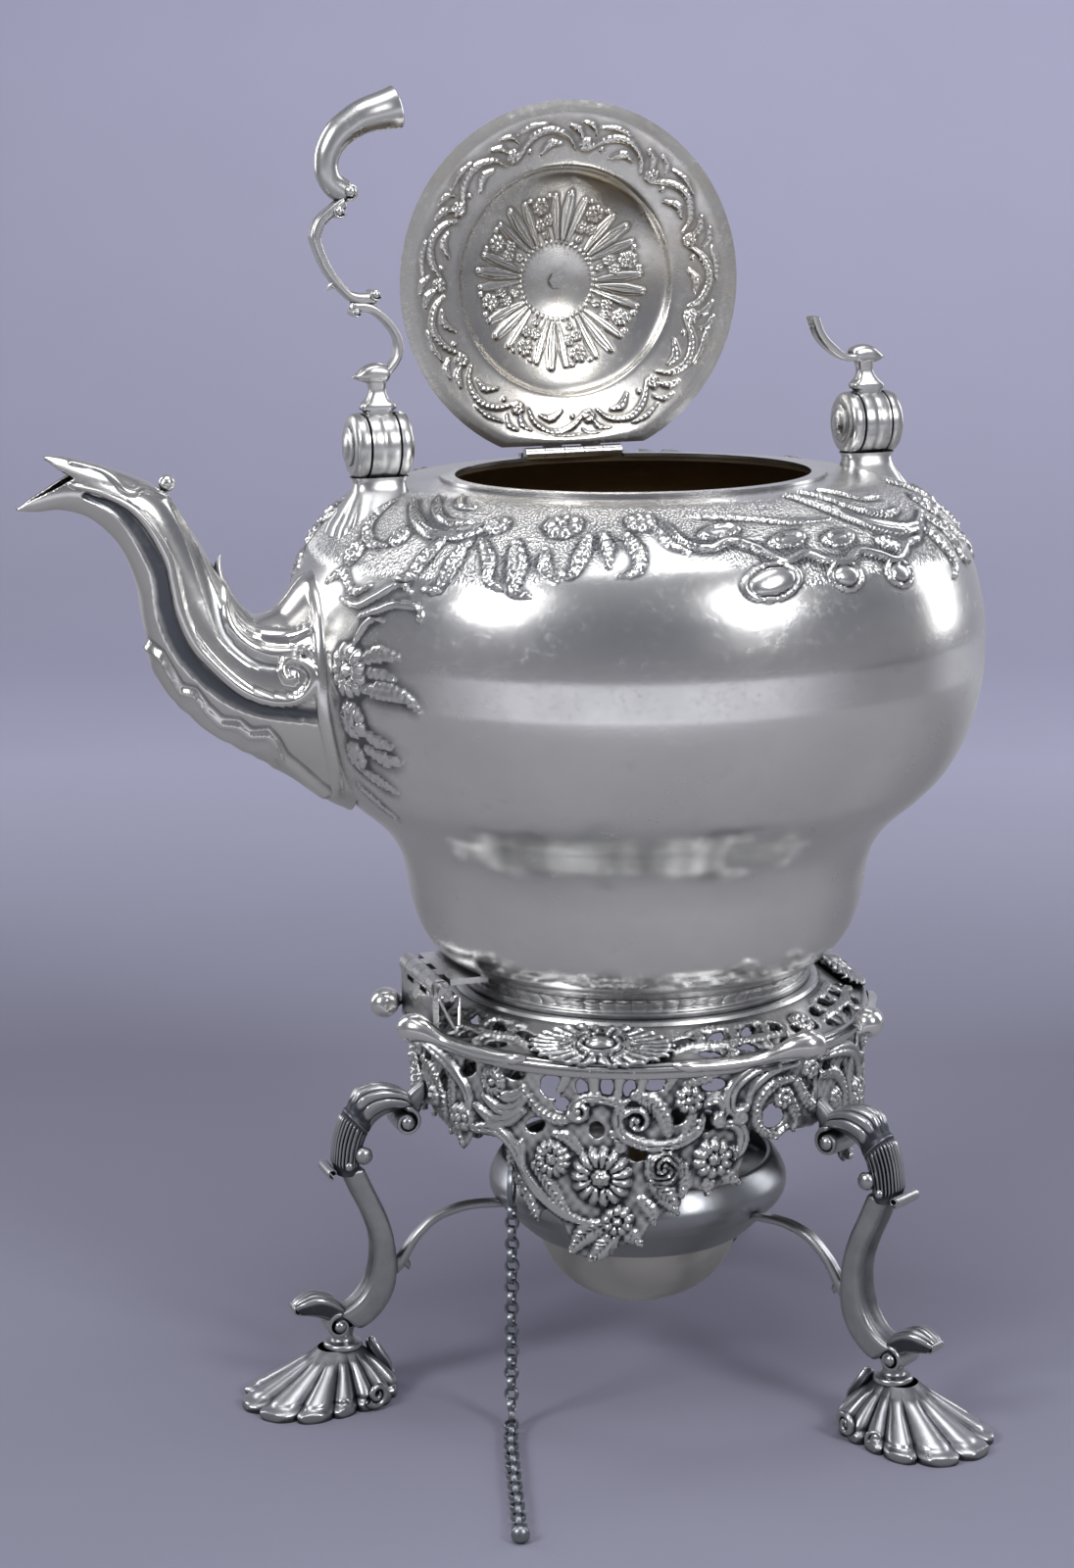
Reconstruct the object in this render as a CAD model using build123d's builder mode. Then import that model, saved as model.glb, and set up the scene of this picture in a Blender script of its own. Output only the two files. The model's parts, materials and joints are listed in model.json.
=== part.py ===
"""Hot-water kettle on its three-legged spirit-lamp stand, in cast and raised silver.

Millimetres. The origin is on the table, under the kettle's own axis. +Z is up, the spout
points to -X and the lid hinge is at +Y. The kettle tips on a hinge above the spout-side leg.
The lid is drawn shut and then turned to where it rests, open on its stop. Pieces that face
outward are drawn in the XZ plane, with X as the distance from the axis, and then turned.
"""
from build123d import *
from math import cos, pi, radians, sin, tan
import os

os.makedirs("parts", exist_ok=True)

# Sheet, castings and running clearances
WALL = 1.1
SPOUT_WALL = 1.2
PIN_CLEARANCE = 0.05
PLAY = 0.2
AIR = 0.3

# Directions of the spout, of the three legs and of the three shells between them
SPOUT_ANGLE = 180
LEG_ANGLES = (180, 300, 60)
SHELL_ANGLES = (240, 0, 120)

# Gallery: the pierced top plate that carries the kettle
APRON_R = 60.0
APRON_WALL = 1.7
SEAT_Z = 107.2
SEAT_THICKNESS = 2.0
SEAT_R = 47.6
SEAT_HOLE_R = SEAT_R - 6.6
PLATE_R = APRON_R + 1.6
PLATE_DROP = 6.6
PLATE_THICKNESS = 1.5
PLATE_SLOPE = 25.0
HOLES_PER_SIDE = 3
BAND_Z = 96.2
SHELL_REACH = 12.0
SHELL_WIDTH = 25.0
SHELL_RIBS = 9
PETALS = 9
KNOB_R = 3.6
KNOB_WIDTH = 5.0
KNOB_AT_R = PLATE_R + 5.8
KNOB_TURN = 11.5
RAIL_R = 1.5

# Kettle body
FOOT_R = SEAT_R - 1.6
FOOT_HEIGHT = 5.4
FOOT_BORE_R = FOOT_R - 3.4
BODY_Z = SEAT_Z + FOOT_HEIGHT
BODY_FOOT_R = FOOT_R + 0.8
WAIST_R = 60.4
WAIST_Z = 137.5
BULGE_R = 90.6
BULGE_Z = 195.0
RIM_R = 46.8
TOP_Z = 239.4
TOP_FLAT_R = 57.0
LIP_R = 49.6
LIP_HEIGHT = 0.9
LIP_BORE_R = 45.8
OUTER_STRIPS = (4, 3, 3, 3, 3)
INNER_STRIPS = (3, 2, 2, 3, 1)

# Spout
SPOUT_SIDES = 14
LEAF_PROUD = 0.9
KNOP_R = 2.5

# Lid, open at rest
LID_R = 47.9
LID_GAP = 0.15
LID_RISE = 14.0
LID_FLANGE_WIDTH = 4.0
STEP_R = 31.0
BOSS_R = 9.6
LID_OPEN_ANGLE = 90.0
LID_HINGE_Y = 45.4
LID_HINGE_R = 1.7
LID_PIN_R = 0.8
LID_HINGE_LENGTH = 27.6
LID_KNUCKLES = 5
FINIAL_HEIGHT = 13.0

# Pivots of the broken bail handle
PIVOT_R = 67.8
PIVOT_Z = 250.2
BARREL_R = 8.2
TONGUE_WIDTH = 7.4
CHEEK_WIDTH = 3.7
PIVOT_PIN_R = 2.5
PIN_HEAD_R = 5.0
PIN_HEAD_DEPTH = 1.5
ARM_WIDTH = 5.4
SOCKET_BORE_R = 3.9
SOCKET_DEPTH = 6.0
REAR_INWARD = 1.8
REAR_LEAN = 0.16
SOCKET_TILT = 14.5
SOCKET_R = 5.4

# Hinge on which the kettle tips
TILT_X = 2.6 - PLATE_R
TILT_Z = 112.2
TILT_BARREL_R = 2.5
TILT_PIN_R = 0.95
TILT_LENGTH = 28.0
TILT_KNUCKLES = 5
LEAF_THICKNESS = 1.6
TAB_WIDTH = 3.6
BEAD_R = 1.7
BEAD_LENGTH = 9.0
LOOP_WIRE_R = 0.4

# Legs, feet and brackets
SHAFT_WIDTH = 8.4
KNEE_WIDTH = 8.8
VOLUTE_WIDTH = 10.4
STRUT_WIDTH = 3.8
ANKLE_R = APRON_R + 23.5
NECK_R = 2.9
FOOT_TOP_Z = 13.8
FOOT_FRONT = 28.0
FOOT_SIDE = 14.4
FOOT_POINTS = 28
BRACKET_WIDTH = 3.4

# Spirit lamp and the ring that holds it
LAMP_RING_TOP_Z = 58.2
LAMP_RING_R = 40.0
LAMP_SEAT_Z = 39.4
LAMP_SEAT_R = 29.2
LAMP_HOLE_R = 27.4
FLANGE_R = 28.8
BOWL_R = 27.0
BOWL_FLOOR_Z = 17.6
COLLAR_R = 8.0
COLLAR_TOP_Z = 48.4
TUBE_R = 4.2
TUBE_TOP_Z = 60.0
WICK_R = 3.1
WICK_TOP_Z = 64.0

# Chain that hangs from the apron and trails on the table
CHAIN_AT_R = APRON_R - APRON_WALL / 2
CHAIN_ANGLE = 216.5
CHAIN_RING_R = 5.3
CHAIN_RING_TURN = 29.0
CHAIN_WIRE_R = 0.7
CHAIN_EYE_R = 1.7
CHAIN_EYE_Z = 70.7
CHAIN_R = 2.05
CHAIN_BALL_R = 2.4


def stations(start, through, end, count, inset=0.0):
    """Evenly spaced points along an arc, moved to the right of its travel by the inset."""
    arc = ThreePointArc(start, through, end, mode=Mode.PRIVATE)
    points = []
    for step in range(count + 1):
        at, along = arc @ (step / count), arc % (step / count)
        points.append((at.X + inset * along.Y, at.Y - inset * along.X))
    return points


def keep(part, name):
    """Label a finished piece and write it."""
    part.label = name
    export_step(part, f"parts/{name}.step")
    return part


def turned(part, angle):
    """The same piece, turned about the kettle's axis."""
    return part.rotate(Axis.Z, angle)


def oval_section(lower, upper, half_width, sides):
    """Many-sided oval between two points of a side view, square to the side view."""
    rise = Vector(upper[0] - lower[0], 0, upper[1] - lower[1])
    middle = ((lower[0] + upper[0]) / 2, 0, (lower[1] + upper[1]) / 2)
    half_height = rise.length / 2
    grow = 1 / cos(pi / sides)
    corners = [
        (
            half_height * grow * cos(2 * pi * (side + 0.5) / sides),
            half_width * grow * sin(2 * pi * (side + 0.5) / sides),
        )
        for side in range(sides)
    ]
    plane = Plane(origin=middle, x_dir=rise.normalized(), z_dir=rise.cross(Vector(0, 1, 0)))
    with BuildSketch(plane) as section:
        with BuildLine():
            Polyline(*corners, close=True)
        make_face()
    return section.sketch


def prism(outline, half_width):
    """Flat casting with an outline drawn in the side view."""
    with BuildPart() as casting:
        with BuildSketch(Plane.XZ):
            with BuildLine():
                Polyline(*outline, close=True)
            make_face()
        extrude(amount=half_width, both=True)
    return casting.part


def strap(outer, inner, half_width):
    """Flat casting between two curves of the side view, both drawn from the same end."""
    with BuildPart() as strip:
        with BuildSketch(Plane.XZ):
            with BuildLine():
                Spline(*outer)
                Line(outer[-1], inner[-1])
                Spline(*reversed(inner))
                Line(inner[0], outer[0])
            make_face()
        extrude(amount=half_width, both=True)
    return strip.part


def moved(points, x, z=0.0):
    """Points of a side view, moved together."""
    return [(point[0] + x, point[1] + z) for point in points]


def roll(centre, radius, half_width, sides=14):
    """The rolled end of a scroll, a short many-sided bar across the casting."""
    with BuildPart() as bar:
        with BuildSketch(Plane.XZ):
            with Locations(centre):
                RegularPolygon(radius, sides)
        extrude(amount=half_width, both=True)
    return bar.part


def rod(points, radii, sides=6, level=(0, 0, 1)):
    """Cast bar through points, with a radius at each."""
    sections = []
    for place, point in enumerate(points):
        before = Vector(*points[max(place - 1, 0)])
        after = Vector(*points[min(place + 1, len(points) - 1)])
        along = (after - before).normalized()
        with BuildSketch(Plane(origin=point, x_dir=along.cross(Vector(*level)), z_dir=along)) as section:
            RegularPolygon(radii[place], sides)
        sections.append(section.sketch)
    with BuildPart() as bar:
        loft(sections, ruled=True)
    return bar.part


def block(low, high):
    """A plain block between two corners."""
    with BuildPart() as solid:
        with Locations((Vector(*low) + Vector(*high)) / 2):
            Box(*(Vector(*high) - Vector(*low)))
    return solid.part


def knuckles(plane, radius, bore_r, length, count, first):
    """Every second tube of a hinge barrel, centred on the plane, along its normal."""
    step = length / count
    with BuildPart() as tubes:
        for place in range(first, count, 2):
            with BuildSketch(plane.offset(-length / 2 + place * step + PLAY / 2)):
                Circle(radius)
                Circle(bore_r, mode=Mode.SUBTRACT)
            extrude(amount=step - PLAY)
    return tubes.part


def body_skin(strips, inset=0.0):
    """Half outline of the kettle from its mouth down to its floor, raised as short cones."""
    shoulder = stations((TOP_FLAT_R, TOP_Z), (79.6, 229.4), (89.4, 205.5), strips[0], inset)
    belly = stations((89.4, 205.5), (BULGE_R, BULGE_Z), (87.2, 175.5), strips[1], inset)
    tuck = stations((87.2, 175.5), (80.6, 163.8), (70.5, 154.2), strips[2], inset)
    waist = stations((70.5, 154.2), (62.8, 146.2), (WAIST_R, WAIST_Z), strips[3], inset)
    bowl = stations((WAIST_R, WAIST_Z), (57.4, 122.0), (BODY_FOOT_R, BODY_Z), strips[4], inset)
    return shoulder[:-1] + belly[:-1] + tuck[:-1] + waist[:-1] + bowl[:-1]


# All the space inside the kettle's outer surface, used to seat what is soldered to it
with BuildPart() as body_form:
    with BuildSketch(Plane.XZ):
        with BuildLine():
            Polyline(
                (0, TOP_Z),
                *body_skin(OUTER_STRIPS),
                (BODY_FOOT_R, BODY_Z),
                (0, BODY_Z),
                close=True,
            )
        make_face()
    revolve(axis=Axis.Z)


def spout_sections(inset):
    """Sections from inside the body, up the swan neck, to the bird's beak."""
    outlines = [
        ((70.0, 154.0), (78.0, 225.0), 24.0),
        ((84.5, 161.6), (89.5, 217.5), 20.5),
        ((94.0, 169.2), (95.5, 211.0), 16.5),
        ((104.9, 176.0), (101.0, 209.8), 14.0),
        ((113.9, 182.2), (104.8, 213.0), 12.4),
        ((121.4, 189.8), (108.3, 217.6), 11.2),
        ((126.8, 199.0), (111.2, 222.6), 10.2),
        ((129.2, 210.6), (113.9, 227.6), 9.2),
        ((130.6, 219.8), (117.4, 233.6), 8.4),
        ((134.2, 228.7), (122.3, 241.2), 7.6),
        ((140.6, 235.4), (130.4, 245.8), 6.8),
        ((147.8, 237.9), (139.6, 249.0), 5.8),
        ((154.4, 238.0), (146.6, 251.4), 4.0),
    ]
    sections = []
    for lower, upper, half_width in outlines:
        rise = Vector(upper[0] - lower[0], upper[1] - lower[1]).normalized() * inset
        sections.append(
            oval_section(
                (lower[0] + rise.X, lower[1] + rise.Y),
                (upper[0] - rise.X, upper[1] - rise.Y),
                half_width - inset,
                SPOUT_SIDES,
            )
        )
    return sections


# Outside of the spout and its water way, drawn toward +X
with BuildPart() as spout_form:
    loft(
        spout_sections(0) + [oval_section((159.2, 238.2), (151.8, 252.6), 1.0, SPOUT_SIDES)],
        ruled=True,
    )
with BuildPart() as water_way:
    loft(spout_sections(SPOUT_WALL), ruled=True)

# Raised kettle body, one skin from the mouth to the floor
with BuildPart() as kettle_body:
    with BuildSketch(Plane.XZ):
        with BuildLine():
            Polyline(
                (RIM_R, TOP_Z - WALL),
                (RIM_R, TOP_Z),
                *body_skin(OUTER_STRIPS),
                (BODY_FOOT_R, BODY_Z),
                (0, BODY_Z),
                (0, BODY_Z + WALL),
                (BODY_FOOT_R - WALL, BODY_Z + WALL),
                *reversed(body_skin(INNER_STRIPS, WALL)[1:]),
                (TOP_FLAT_R - WALL, TOP_Z - WALL),
                close=True,
            )
        make_face()
    revolve(axis=Axis.Z)
    add(turned(water_way.part, SPOUT_ANGLE), mode=Mode.SUBTRACT)
keep(kettle_body.part, "kettle_body")

# Stepped foot moulding under the body
with BuildPart() as kettle_foot_ring:
    with BuildSketch(Plane.XZ):
        with BuildLine():
            Polyline(
                (FOOT_BORE_R, SEAT_Z),
                (FOOT_R, SEAT_Z),
                (FOOT_R, SEAT_Z + 1.6),
                (FOOT_R - 0.9, SEAT_Z + 2.2),
                (FOOT_R - 0.9, SEAT_Z + 4.2),
                (FOOT_R + 0.6, BODY_Z),
                (FOOT_BORE_R, BODY_Z),
                close=True,
            )
        make_face()
    revolve(axis=Axis.Z)
keep(kettle_foot_ring.part, "kettle_foot_ring")

# Flat lip round the mouth, notched behind for the lid hinge
NOTCH_HALF = LID_HINGE_LENGTH / 2 + AIR
NOTCH_BACK_Y = LID_HINGE_Y + LID_HINGE_R + AIR
with BuildPart() as mouth_lip:
    with BuildSketch(Plane.XY.offset(TOP_Z)):
        Circle(LIP_R)
        Circle(LIP_BORE_R, mode=Mode.SUBTRACT)
        with Locations((0, NOTCH_BACK_Y - 10)):
            Rectangle(2 * NOTCH_HALF, 20, mode=Mode.SUBTRACT)
    extrude(amount=LIP_HEIGHT)
keep(mouth_lip.part, "mouth_lip")

# Swan-neck spout, ending in an open bird's beak
OPEN_BEAK = (
    (145.4, 246.2),
    (151.2, 251.2),
    (158.0, 262.0),
    (170.0, 256.0),
    (170.0, 238.6),
    (158.9, 238.6),
    (152.2, 241.8),
)
with BuildPart() as spout:
    add(spout_form.part)
    add(water_way.part, mode=Mode.SUBTRACT)
    add(body_form.part, mode=Mode.SUBTRACT)
    add(prism(OPEN_BEAK, 20), mode=Mode.SUBTRACT)
keep(turned(spout.part.solids().sort_by(SortBy.VOLUME)[-1], SPOUT_ANGLE), "spout")

# Leaf wrapped round the underside of the neck, its upper edge waved
LEAF_SIDE = (
    (132.0, 207.0),
    (127.6, 203.0),
    (126.2, 198.0),
    (121.4, 195.8),
    (119.4, 190.6),
    (113.6, 189.2),
    (110.6, 184.4),
    (104.0, 183.2),
    (100.4, 178.4),
    (93.0, 176.8),
    (88.0, 170.2),
    (80.0, 166.0),
    (80.0, 150.0),
    (140.0, 150.0),
    (140.0, 207.0),
)
with BuildPart() as leaf_form:
    loft(spout_sections(-LEAF_PROUD)[1:9], ruled=True)
    add(prism(LEAF_SIDE, 40), mode=Mode.INTERSECT)
with BuildPart() as spout_leaf:
    add(leaf_form.part)
    add(spout_form.part, mode=Mode.SUBTRACT)
    add(body_form.part, mode=Mode.SUBTRACT)
keep(turned(spout_leaf.part.solids().sort_by(SortBy.VOLUME)[-1], SPOUT_ANGLE), "spout_leaf")

# Thumb leaf and knop on top of the bird's head
THUMB_LEAF = (
    (99.0, 209.0),
    (103.2, 213.2),
    (106.8, 219.4),
    (108.8, 225.6),
    (111.0, 223.4),
    (112.6, 219.0),
    (108.0, 211.0),
)
with BuildPart() as spout_thumb_leaf:
    add(prism(THUMB_LEAF, 3.2))
    add(spout_form.part, mode=Mode.SUBTRACT)
keep(turned(spout_thumb_leaf.part.solids().sort_by(SortBy.VOLUME)[-1], SPOUT_ANGLE), "spout_thumb_leaf")

with BuildPart() as spout_knop:
    with Locations((121.9, 0, 243.1)):
        Sphere(KNOP_R)
    add(spout_form.part, mode=Mode.SUBTRACT)
keep(turned(spout_knop.part.solids().sort_by(SortBy.VOLUME)[-1], SPOUT_ANGLE), "spout_knop")

# Lid, drawn shut: flat flange, hollowed border, step and domed crown
LID_Z = TOP_Z + LIP_HEIGHT + LID_GAP
LID_TOP_Z = LID_Z + LID_RISE
LID_FLANGE_R = LID_R - LID_FLANGE_WIDTH
LID_HINGE_Z = LID_Z + 0.6
LID_BORE_R = LID_PIN_R + PIN_CLEARANCE
LID_HINGE_AXIS = Axis((0, LID_HINGE_Y, LID_HINGE_Z), (1, 0, 0))
LID_HINGE_PLANE = Plane(origin=(0, LID_HINGE_Y, LID_HINGE_Z), x_dir=(0, 1, 0), z_dir=(1, 0, 0))


def opened(part):
    """Turn a piece of the shut lid back onto its stop."""
    return part.rotate(LID_HINGE_AXIS, -LID_OPEN_ANGLE)


with BuildPart() as lid:
    with BuildSketch(Plane.XZ):
        with BuildLine():
            Polyline(
                (0, LID_TOP_Z),
                (BOSS_R, LID_TOP_Z - 0.8),
                (22, LID_Z + 10.2),
                (STEP_R - 0.6, LID_Z + 6.6),
                (STEP_R, LID_Z + 4.9),
                (40, LID_Z + 2.4),
                (LID_FLANGE_R, LID_Z + 1.2),
                (LID_R, LID_Z + 1.1),
                (LID_R, LID_Z),
                (LID_FLANGE_R, LID_Z),
                (40, LID_Z + 1.2),
                (STEP_R - 0.6, LID_Z + 3.8),
                (STEP_R - 1.5, LID_Z + 5.6),
                (22, LID_Z + 9.0),
                (BOSS_R, LID_TOP_Z - 2.0),
                (0, LID_TOP_Z - WALL),
                close=True,
            )
        make_face()
    revolve(axis=Axis.Z)
    with BuildSketch(Plane.XY.offset(LID_Z - 1)):
        with Locations((0, LID_HINGE_Y - LID_HINGE_R - AIR + 10)):
            Rectangle(2 * NOTCH_HALF + 14, 20)
    extrude(amount=6, mode=Mode.SUBTRACT)
keep(opened(lid.part), "lid")

# Turned finial outside the lid and the nut that holds it from inside
with BuildPart() as lid_finial:
    with BuildSketch(Plane.XZ):
        with BuildLine():
            Polyline(
                (0, LID_TOP_Z - 0.6),
                (4.6, LID_TOP_Z - 0.6),
                (4.6, LID_TOP_Z + 1.0),
                (2.0, LID_TOP_Z + 2.4),
                (2.0, LID_TOP_Z + 4.2),
                (5.2, LID_TOP_Z + 7.6),
                (4.2, LID_TOP_Z + 11.0),
                (0, LID_TOP_Z + FINIAL_HEIGHT),
                close=True,
            )
        make_face()
    revolve(axis=Axis.Z)
    add(lid.part, mode=Mode.SUBTRACT)
keep(opened(lid_finial.part.solids().sort_by(SortBy.VOLUME)[-1]), "lid_finial")

with BuildPart() as finial_nut:
    with BuildSketch(Plane.XY.offset(LID_TOP_Z - WALL)):
        RegularPolygon(2.2, 6)
    extrude(amount=-1.2)
    add(lid.part, mode=Mode.SUBTRACT)
keep(opened(finial_nut.part), "finial_nut")

# Hinge leaf on the kettle: outer and middle tubes on a plate soldered behind the mouth
lid_step = LID_HINGE_LENGTH / LID_KNUCKLES
LEAF_Z = TOP_Z + LIP_HEIGHT
with BuildPart() as lid_hinge_seat:
    add(knuckles(LID_HINGE_PLANE, LID_HINGE_R, LID_BORE_R, LID_HINGE_LENGTH, LID_KNUCKLES, 0))
    for place in range(0, LID_KNUCKLES, 2):
        low_x = -LID_HINGE_LENGTH / 2 + place * lid_step + PLAY / 2
        high_x = low_x + lid_step - PLAY
        add(block((low_x, LID_HINGE_Y + LID_BORE_R + 0.2, LEAF_Z), (high_x, NOTCH_BACK_Y + 1, LEAF_Z + 1)))
    add(block((-NOTCH_HALF, NOTCH_BACK_Y, LEAF_Z), (NOTCH_HALF, NOTCH_BACK_Y + 2.4, LEAF_Z + 1)))
    add(body_form.part, mode=Mode.SUBTRACT)
keep(lid_hinge_seat.part, "lid_hinge_seat")

# Hinge leaf on the lid, lying along the flange's cut edge
with BuildPart() as lid_hinge_leaf:
    add(knuckles(LID_HINGE_PLANE, LID_HINGE_R, LID_BORE_R, LID_HINGE_LENGTH, LID_KNUCKLES, 1))
    LEAF_EDGE_Y = LID_HINGE_Y - LID_HINGE_R - AIR
    for place in range(1, LID_KNUCKLES, 2):
        low_x = -LID_HINGE_LENGTH / 2 + place * lid_step + PLAY / 2
        high_x = low_x + lid_step - PLAY
        low = (low_x, LEAF_EDGE_Y - 1, LID_Z + 1.2)
        add(block(low, (high_x, LID_HINGE_Y - LID_BORE_R - 0.2, LID_Z + 2.1)))
    add(block((-NOTCH_HALF, LEAF_EDGE_Y - 3, LID_Z + 1.2), (NOTCH_HALF, LEAF_EDGE_Y, LID_Z + 2.1)))
    add(lid.part, mode=Mode.SUBTRACT)
keep(opened(lid_hinge_leaf.part), "lid_hinge_leaf")

with BuildPart() as lid_hinge_pin:
    with BuildSketch(LID_HINGE_PLANE.offset(-LID_HINGE_LENGTH / 2)):
        Circle(LID_PIN_R)
    extrude(amount=LID_HINGE_LENGTH)
keep(lid_hinge_pin.part, "lid_hinge_pin")

# Pivots: two cheeks on a flared pedestal hold the tongue of each handle arm
PIVOT_PLANE = Plane(origin=(PIVOT_R, 0, PIVOT_Z), x_dir=(0, 1, 0), z_dir=(1, 0, 0))
PIVOT_BORE_R = PIVOT_PIN_R + PIN_CLEARANCE
CHEEK_IN = TONGUE_WIDTH / 2 + PLAY
CHEEK_OUT = CHEEK_IN + CHEEK_WIDTH
BARREL_FOOT_Z = PIVOT_Z - BARREL_R

with BuildPart() as pedestal_form:
    for side in (-1, 1):
        with BuildSketch(PIVOT_PLANE.offset(side * CHEEK_IN)):
            Circle(BARREL_R)
            with Locations((0, -BARREL_R)):
                Rectangle(9.0, 4.0)
            Circle(PIVOT_BORE_R, mode=Mode.SUBTRACT)
        extrude(amount=side * CHEEK_WIDTH)
    with BuildSketch(Plane(origin=(PIVOT_R, 0, BARREL_FOOT_Z - AIR))):
        Rectangle(2 * CHEEK_OUT, 9.0)
    with BuildSketch(Plane(origin=(PIVOT_R, 0, BARREL_FOOT_Z - 3.6))):
        Rectangle(2 * CHEEK_OUT - 1.0, 11.0)
    with BuildSketch(Plane(origin=(PIVOT_R + 2.5, 0, TOP_Z - 11))):
        Rectangle(2 * CHEEK_OUT + 7.0, 25.0)
    loft(ruled=True)

with BuildPart() as pivot_pin:
    with BuildSketch(PIVOT_PLANE.offset(-CHEEK_OUT)):
        Circle(PIVOT_PIN_R)
    extrude(amount=2 * CHEEK_OUT)
    for side in (-1, 1):
        with BuildSketch(PIVOT_PLANE.offset(side * CHEEK_OUT)):
            RegularPolygon(PIN_HEAD_R, 16)
        extrude(amount=side * PIN_HEAD_DEPTH, taper=30)

# Tongue between the cheeks, moulded base and leaf cap of each arm
ARM_BASE_Z = PIVOT_Z + BARREL_R
ROOT_OUTLINE = (
    (-3.5, -1.2),
    (-3.5, 0.4),
    (-4.5, 0.4),
    (-4.5, 2.2),
    (-2.4, 4.2),
    (-2.0, 5.6),
    (-2.0, 7.0),
    (-3.3, 8.4),
    (-3.5, 10.0),
    (-2.2, 11.8),
    (0.3, 12.3),
    (2.4, 11.8),
    (4.6, 10.3),
    (6.4, 8.6),
    (3.6, 7.7),
    (2.1, 7.0),
    (2.1, 5.6),
    (2.6, 4.2),
    (4.5, 2.2),
    (4.5, 0.4),
    (3.5, 0.4),
    (3.5, -1.2),
)


def seated(part, inward):
    """The pedestal at its distance from the axis, cut where the body begins."""
    with BuildPart() as cast:
        add(Location((-inward, 0, 0)) * part)
        add(body_form.part, mode=Mode.SUBTRACT)
    return cast.part.solids().sort_by(SortBy.VOLUME)[-1]


def root_of_arm(lean):
    """Tongue, base and cap; the bent arm leans inward by a share of the height."""
    with BuildPart() as root:
        with BuildSketch(PIVOT_PLANE.offset(-TONGUE_WIDTH / 2)):
            Circle(BARREL_R)
            Circle(PIVOT_BORE_R, mode=Mode.SUBTRACT)
        extrude(amount=TONGUE_WIDTH)
        outline = [(x - lean * max(z, 0), z) for x, z in ROOT_OUTLINE]
        add(prism(moved(outline, PIVOT_R, ARM_BASE_Z), ARM_WIDTH / 2))
    return root.part


arm_root = root_of_arm(0)
rear_arm_root = root_of_arm(REAR_LEAN)
for end_name, end_angle, inward, root in (
    ("front", SPOUT_ANGLE, 0, arm_root),
    ("rear", 0, REAR_INWARD, rear_arm_root),
):
    inset = Location((-inward, 0, 0))
    keep(turned(seated(pedestal_form.part, inward), end_angle), f"{end_name}_pedestal")
    keep(turned(inset * pivot_pin.part, end_angle), f"{end_name}_pivot_pin")
    keep(turned(inset * root, end_angle), f"{end_name}_arm_root")

# The arms are drawn from the middle of their base, on top of the tongue
ARM_AT = (PIVOT_R, ARM_BASE_Z)
SCROLL_OUTER = (
    (-1.0, 7.4),
    (-4.5, 10.6),
    (-6.5, 14.4),
    (-6.3, 18.4),
    (-3.6, 22.9),
    (0.9, 26.2),
    (4.6, 27.0),
)
SCROLL_INNER = (
    (-0.4, 9.6),
    (-2.9, 11.7),
    (-4.6, 14.4),
    (-4.5, 17.8),
    (-2.2, 21.4),
    (1.4, 24.2),
    (4.8, 24.6),
)
STRAP_OUTER = (
    (1.4, 26.6),
    (5.4, 27.3),
    (8.6, 29.2),
    (13.2, 34.9),
    (16.0, 41.8),
    (16.1, 44.9),
    (14.4, 48.1),
    (9.8, 51.6),
)
STRAP_INNER = (
    (1.4, 29.2),
    (4.9, 29.7),
    (7.6, 31.3),
    (11.2, 36.2),
    (13.4, 41.6),
    (13.4, 44.1),
    (12.0, 46.6),
    (9.0, 48.8),
)
THORN = ((9.4, 31.0), (12.3, 29.8), (10.6, 33.4), (8.6, 33.0))
STUB_OUTER = ((-3.0, 7.4), (-6.8, 8.0), (-11.2, 10.4), (-15.0, 14.4), (-17.2, 20.2))
STUB_INNER = ((-3.0, 9.8), (-6.4, 10.2), (-9.4, 12.2), (-12.6, 15.6), (-14.4, 20.2))

# Lower C scroll of the front arm
with BuildPart() as front_arm_scroll:
    add(
        strap(
            moved(SCROLL_OUTER, *ARM_AT),
            moved(SCROLL_INNER, *ARM_AT),
            ARM_WIDTH / 2,
        )
    )
    add(roll((PIVOT_R + 5.5, ARM_BASE_Z + 24.8), 1.5, ARM_WIDTH / 2 + 0.5, 10))
    add(arm_root, mode=Mode.SUBTRACT)
keep(turned(front_arm_scroll.part.solids().sort_by(SortBy.VOLUME)[-1], SPOUT_ANGLE), "front_arm_scroll")

# Middle C scroll, a flat strap with a thorn and a ball at each end
with BuildPart() as front_arm_strap:
    add(
        strap(
            moved(STRAP_OUTER, *ARM_AT),
            moved(STRAP_INNER, *ARM_AT),
            ARM_WIDTH / 2,
        )
    )
    add(prism(moved(THORN, *ARM_AT), ARM_WIDTH / 2 - 1.2))
    add(roll((PIVOT_R + 0.3, ARM_BASE_Z + 29.2), 2.1, ARM_WIDTH / 2 + 0.6, 10))
    add(roll((PIVOT_R + 9.0, ARM_BASE_Z + 49.2), 2.2, ARM_WIDTH / 2 + 0.6, 10))
    add(front_arm_scroll.part, mode=Mode.SUBTRACT)
keep(turned(front_arm_strap.part.solids().sort_by(SortBy.VOLUME)[-1], SPOUT_ANGLE), "front_arm_strap")

# Upper branch of the arm, curled at its root and ending in the open socket of the lost grip
SOCKET_ALONG = Vector(-cos(radians(SOCKET_TILT)), 0, sin(radians(SOCKET_TILT)))
SOCKET_UP = Vector(sin(radians(SOCKET_TILT)), 0, cos(radians(SOCKET_TILT)))
SOCKET_END = Vector(PIVOT_R - 6.5, 0, ARM_BASE_Z + 74.1)
SOCKET_PLANE = Plane(origin=SOCKET_END, x_dir=(0, 1, 0), z_dir=SOCKET_ALONG)


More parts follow.
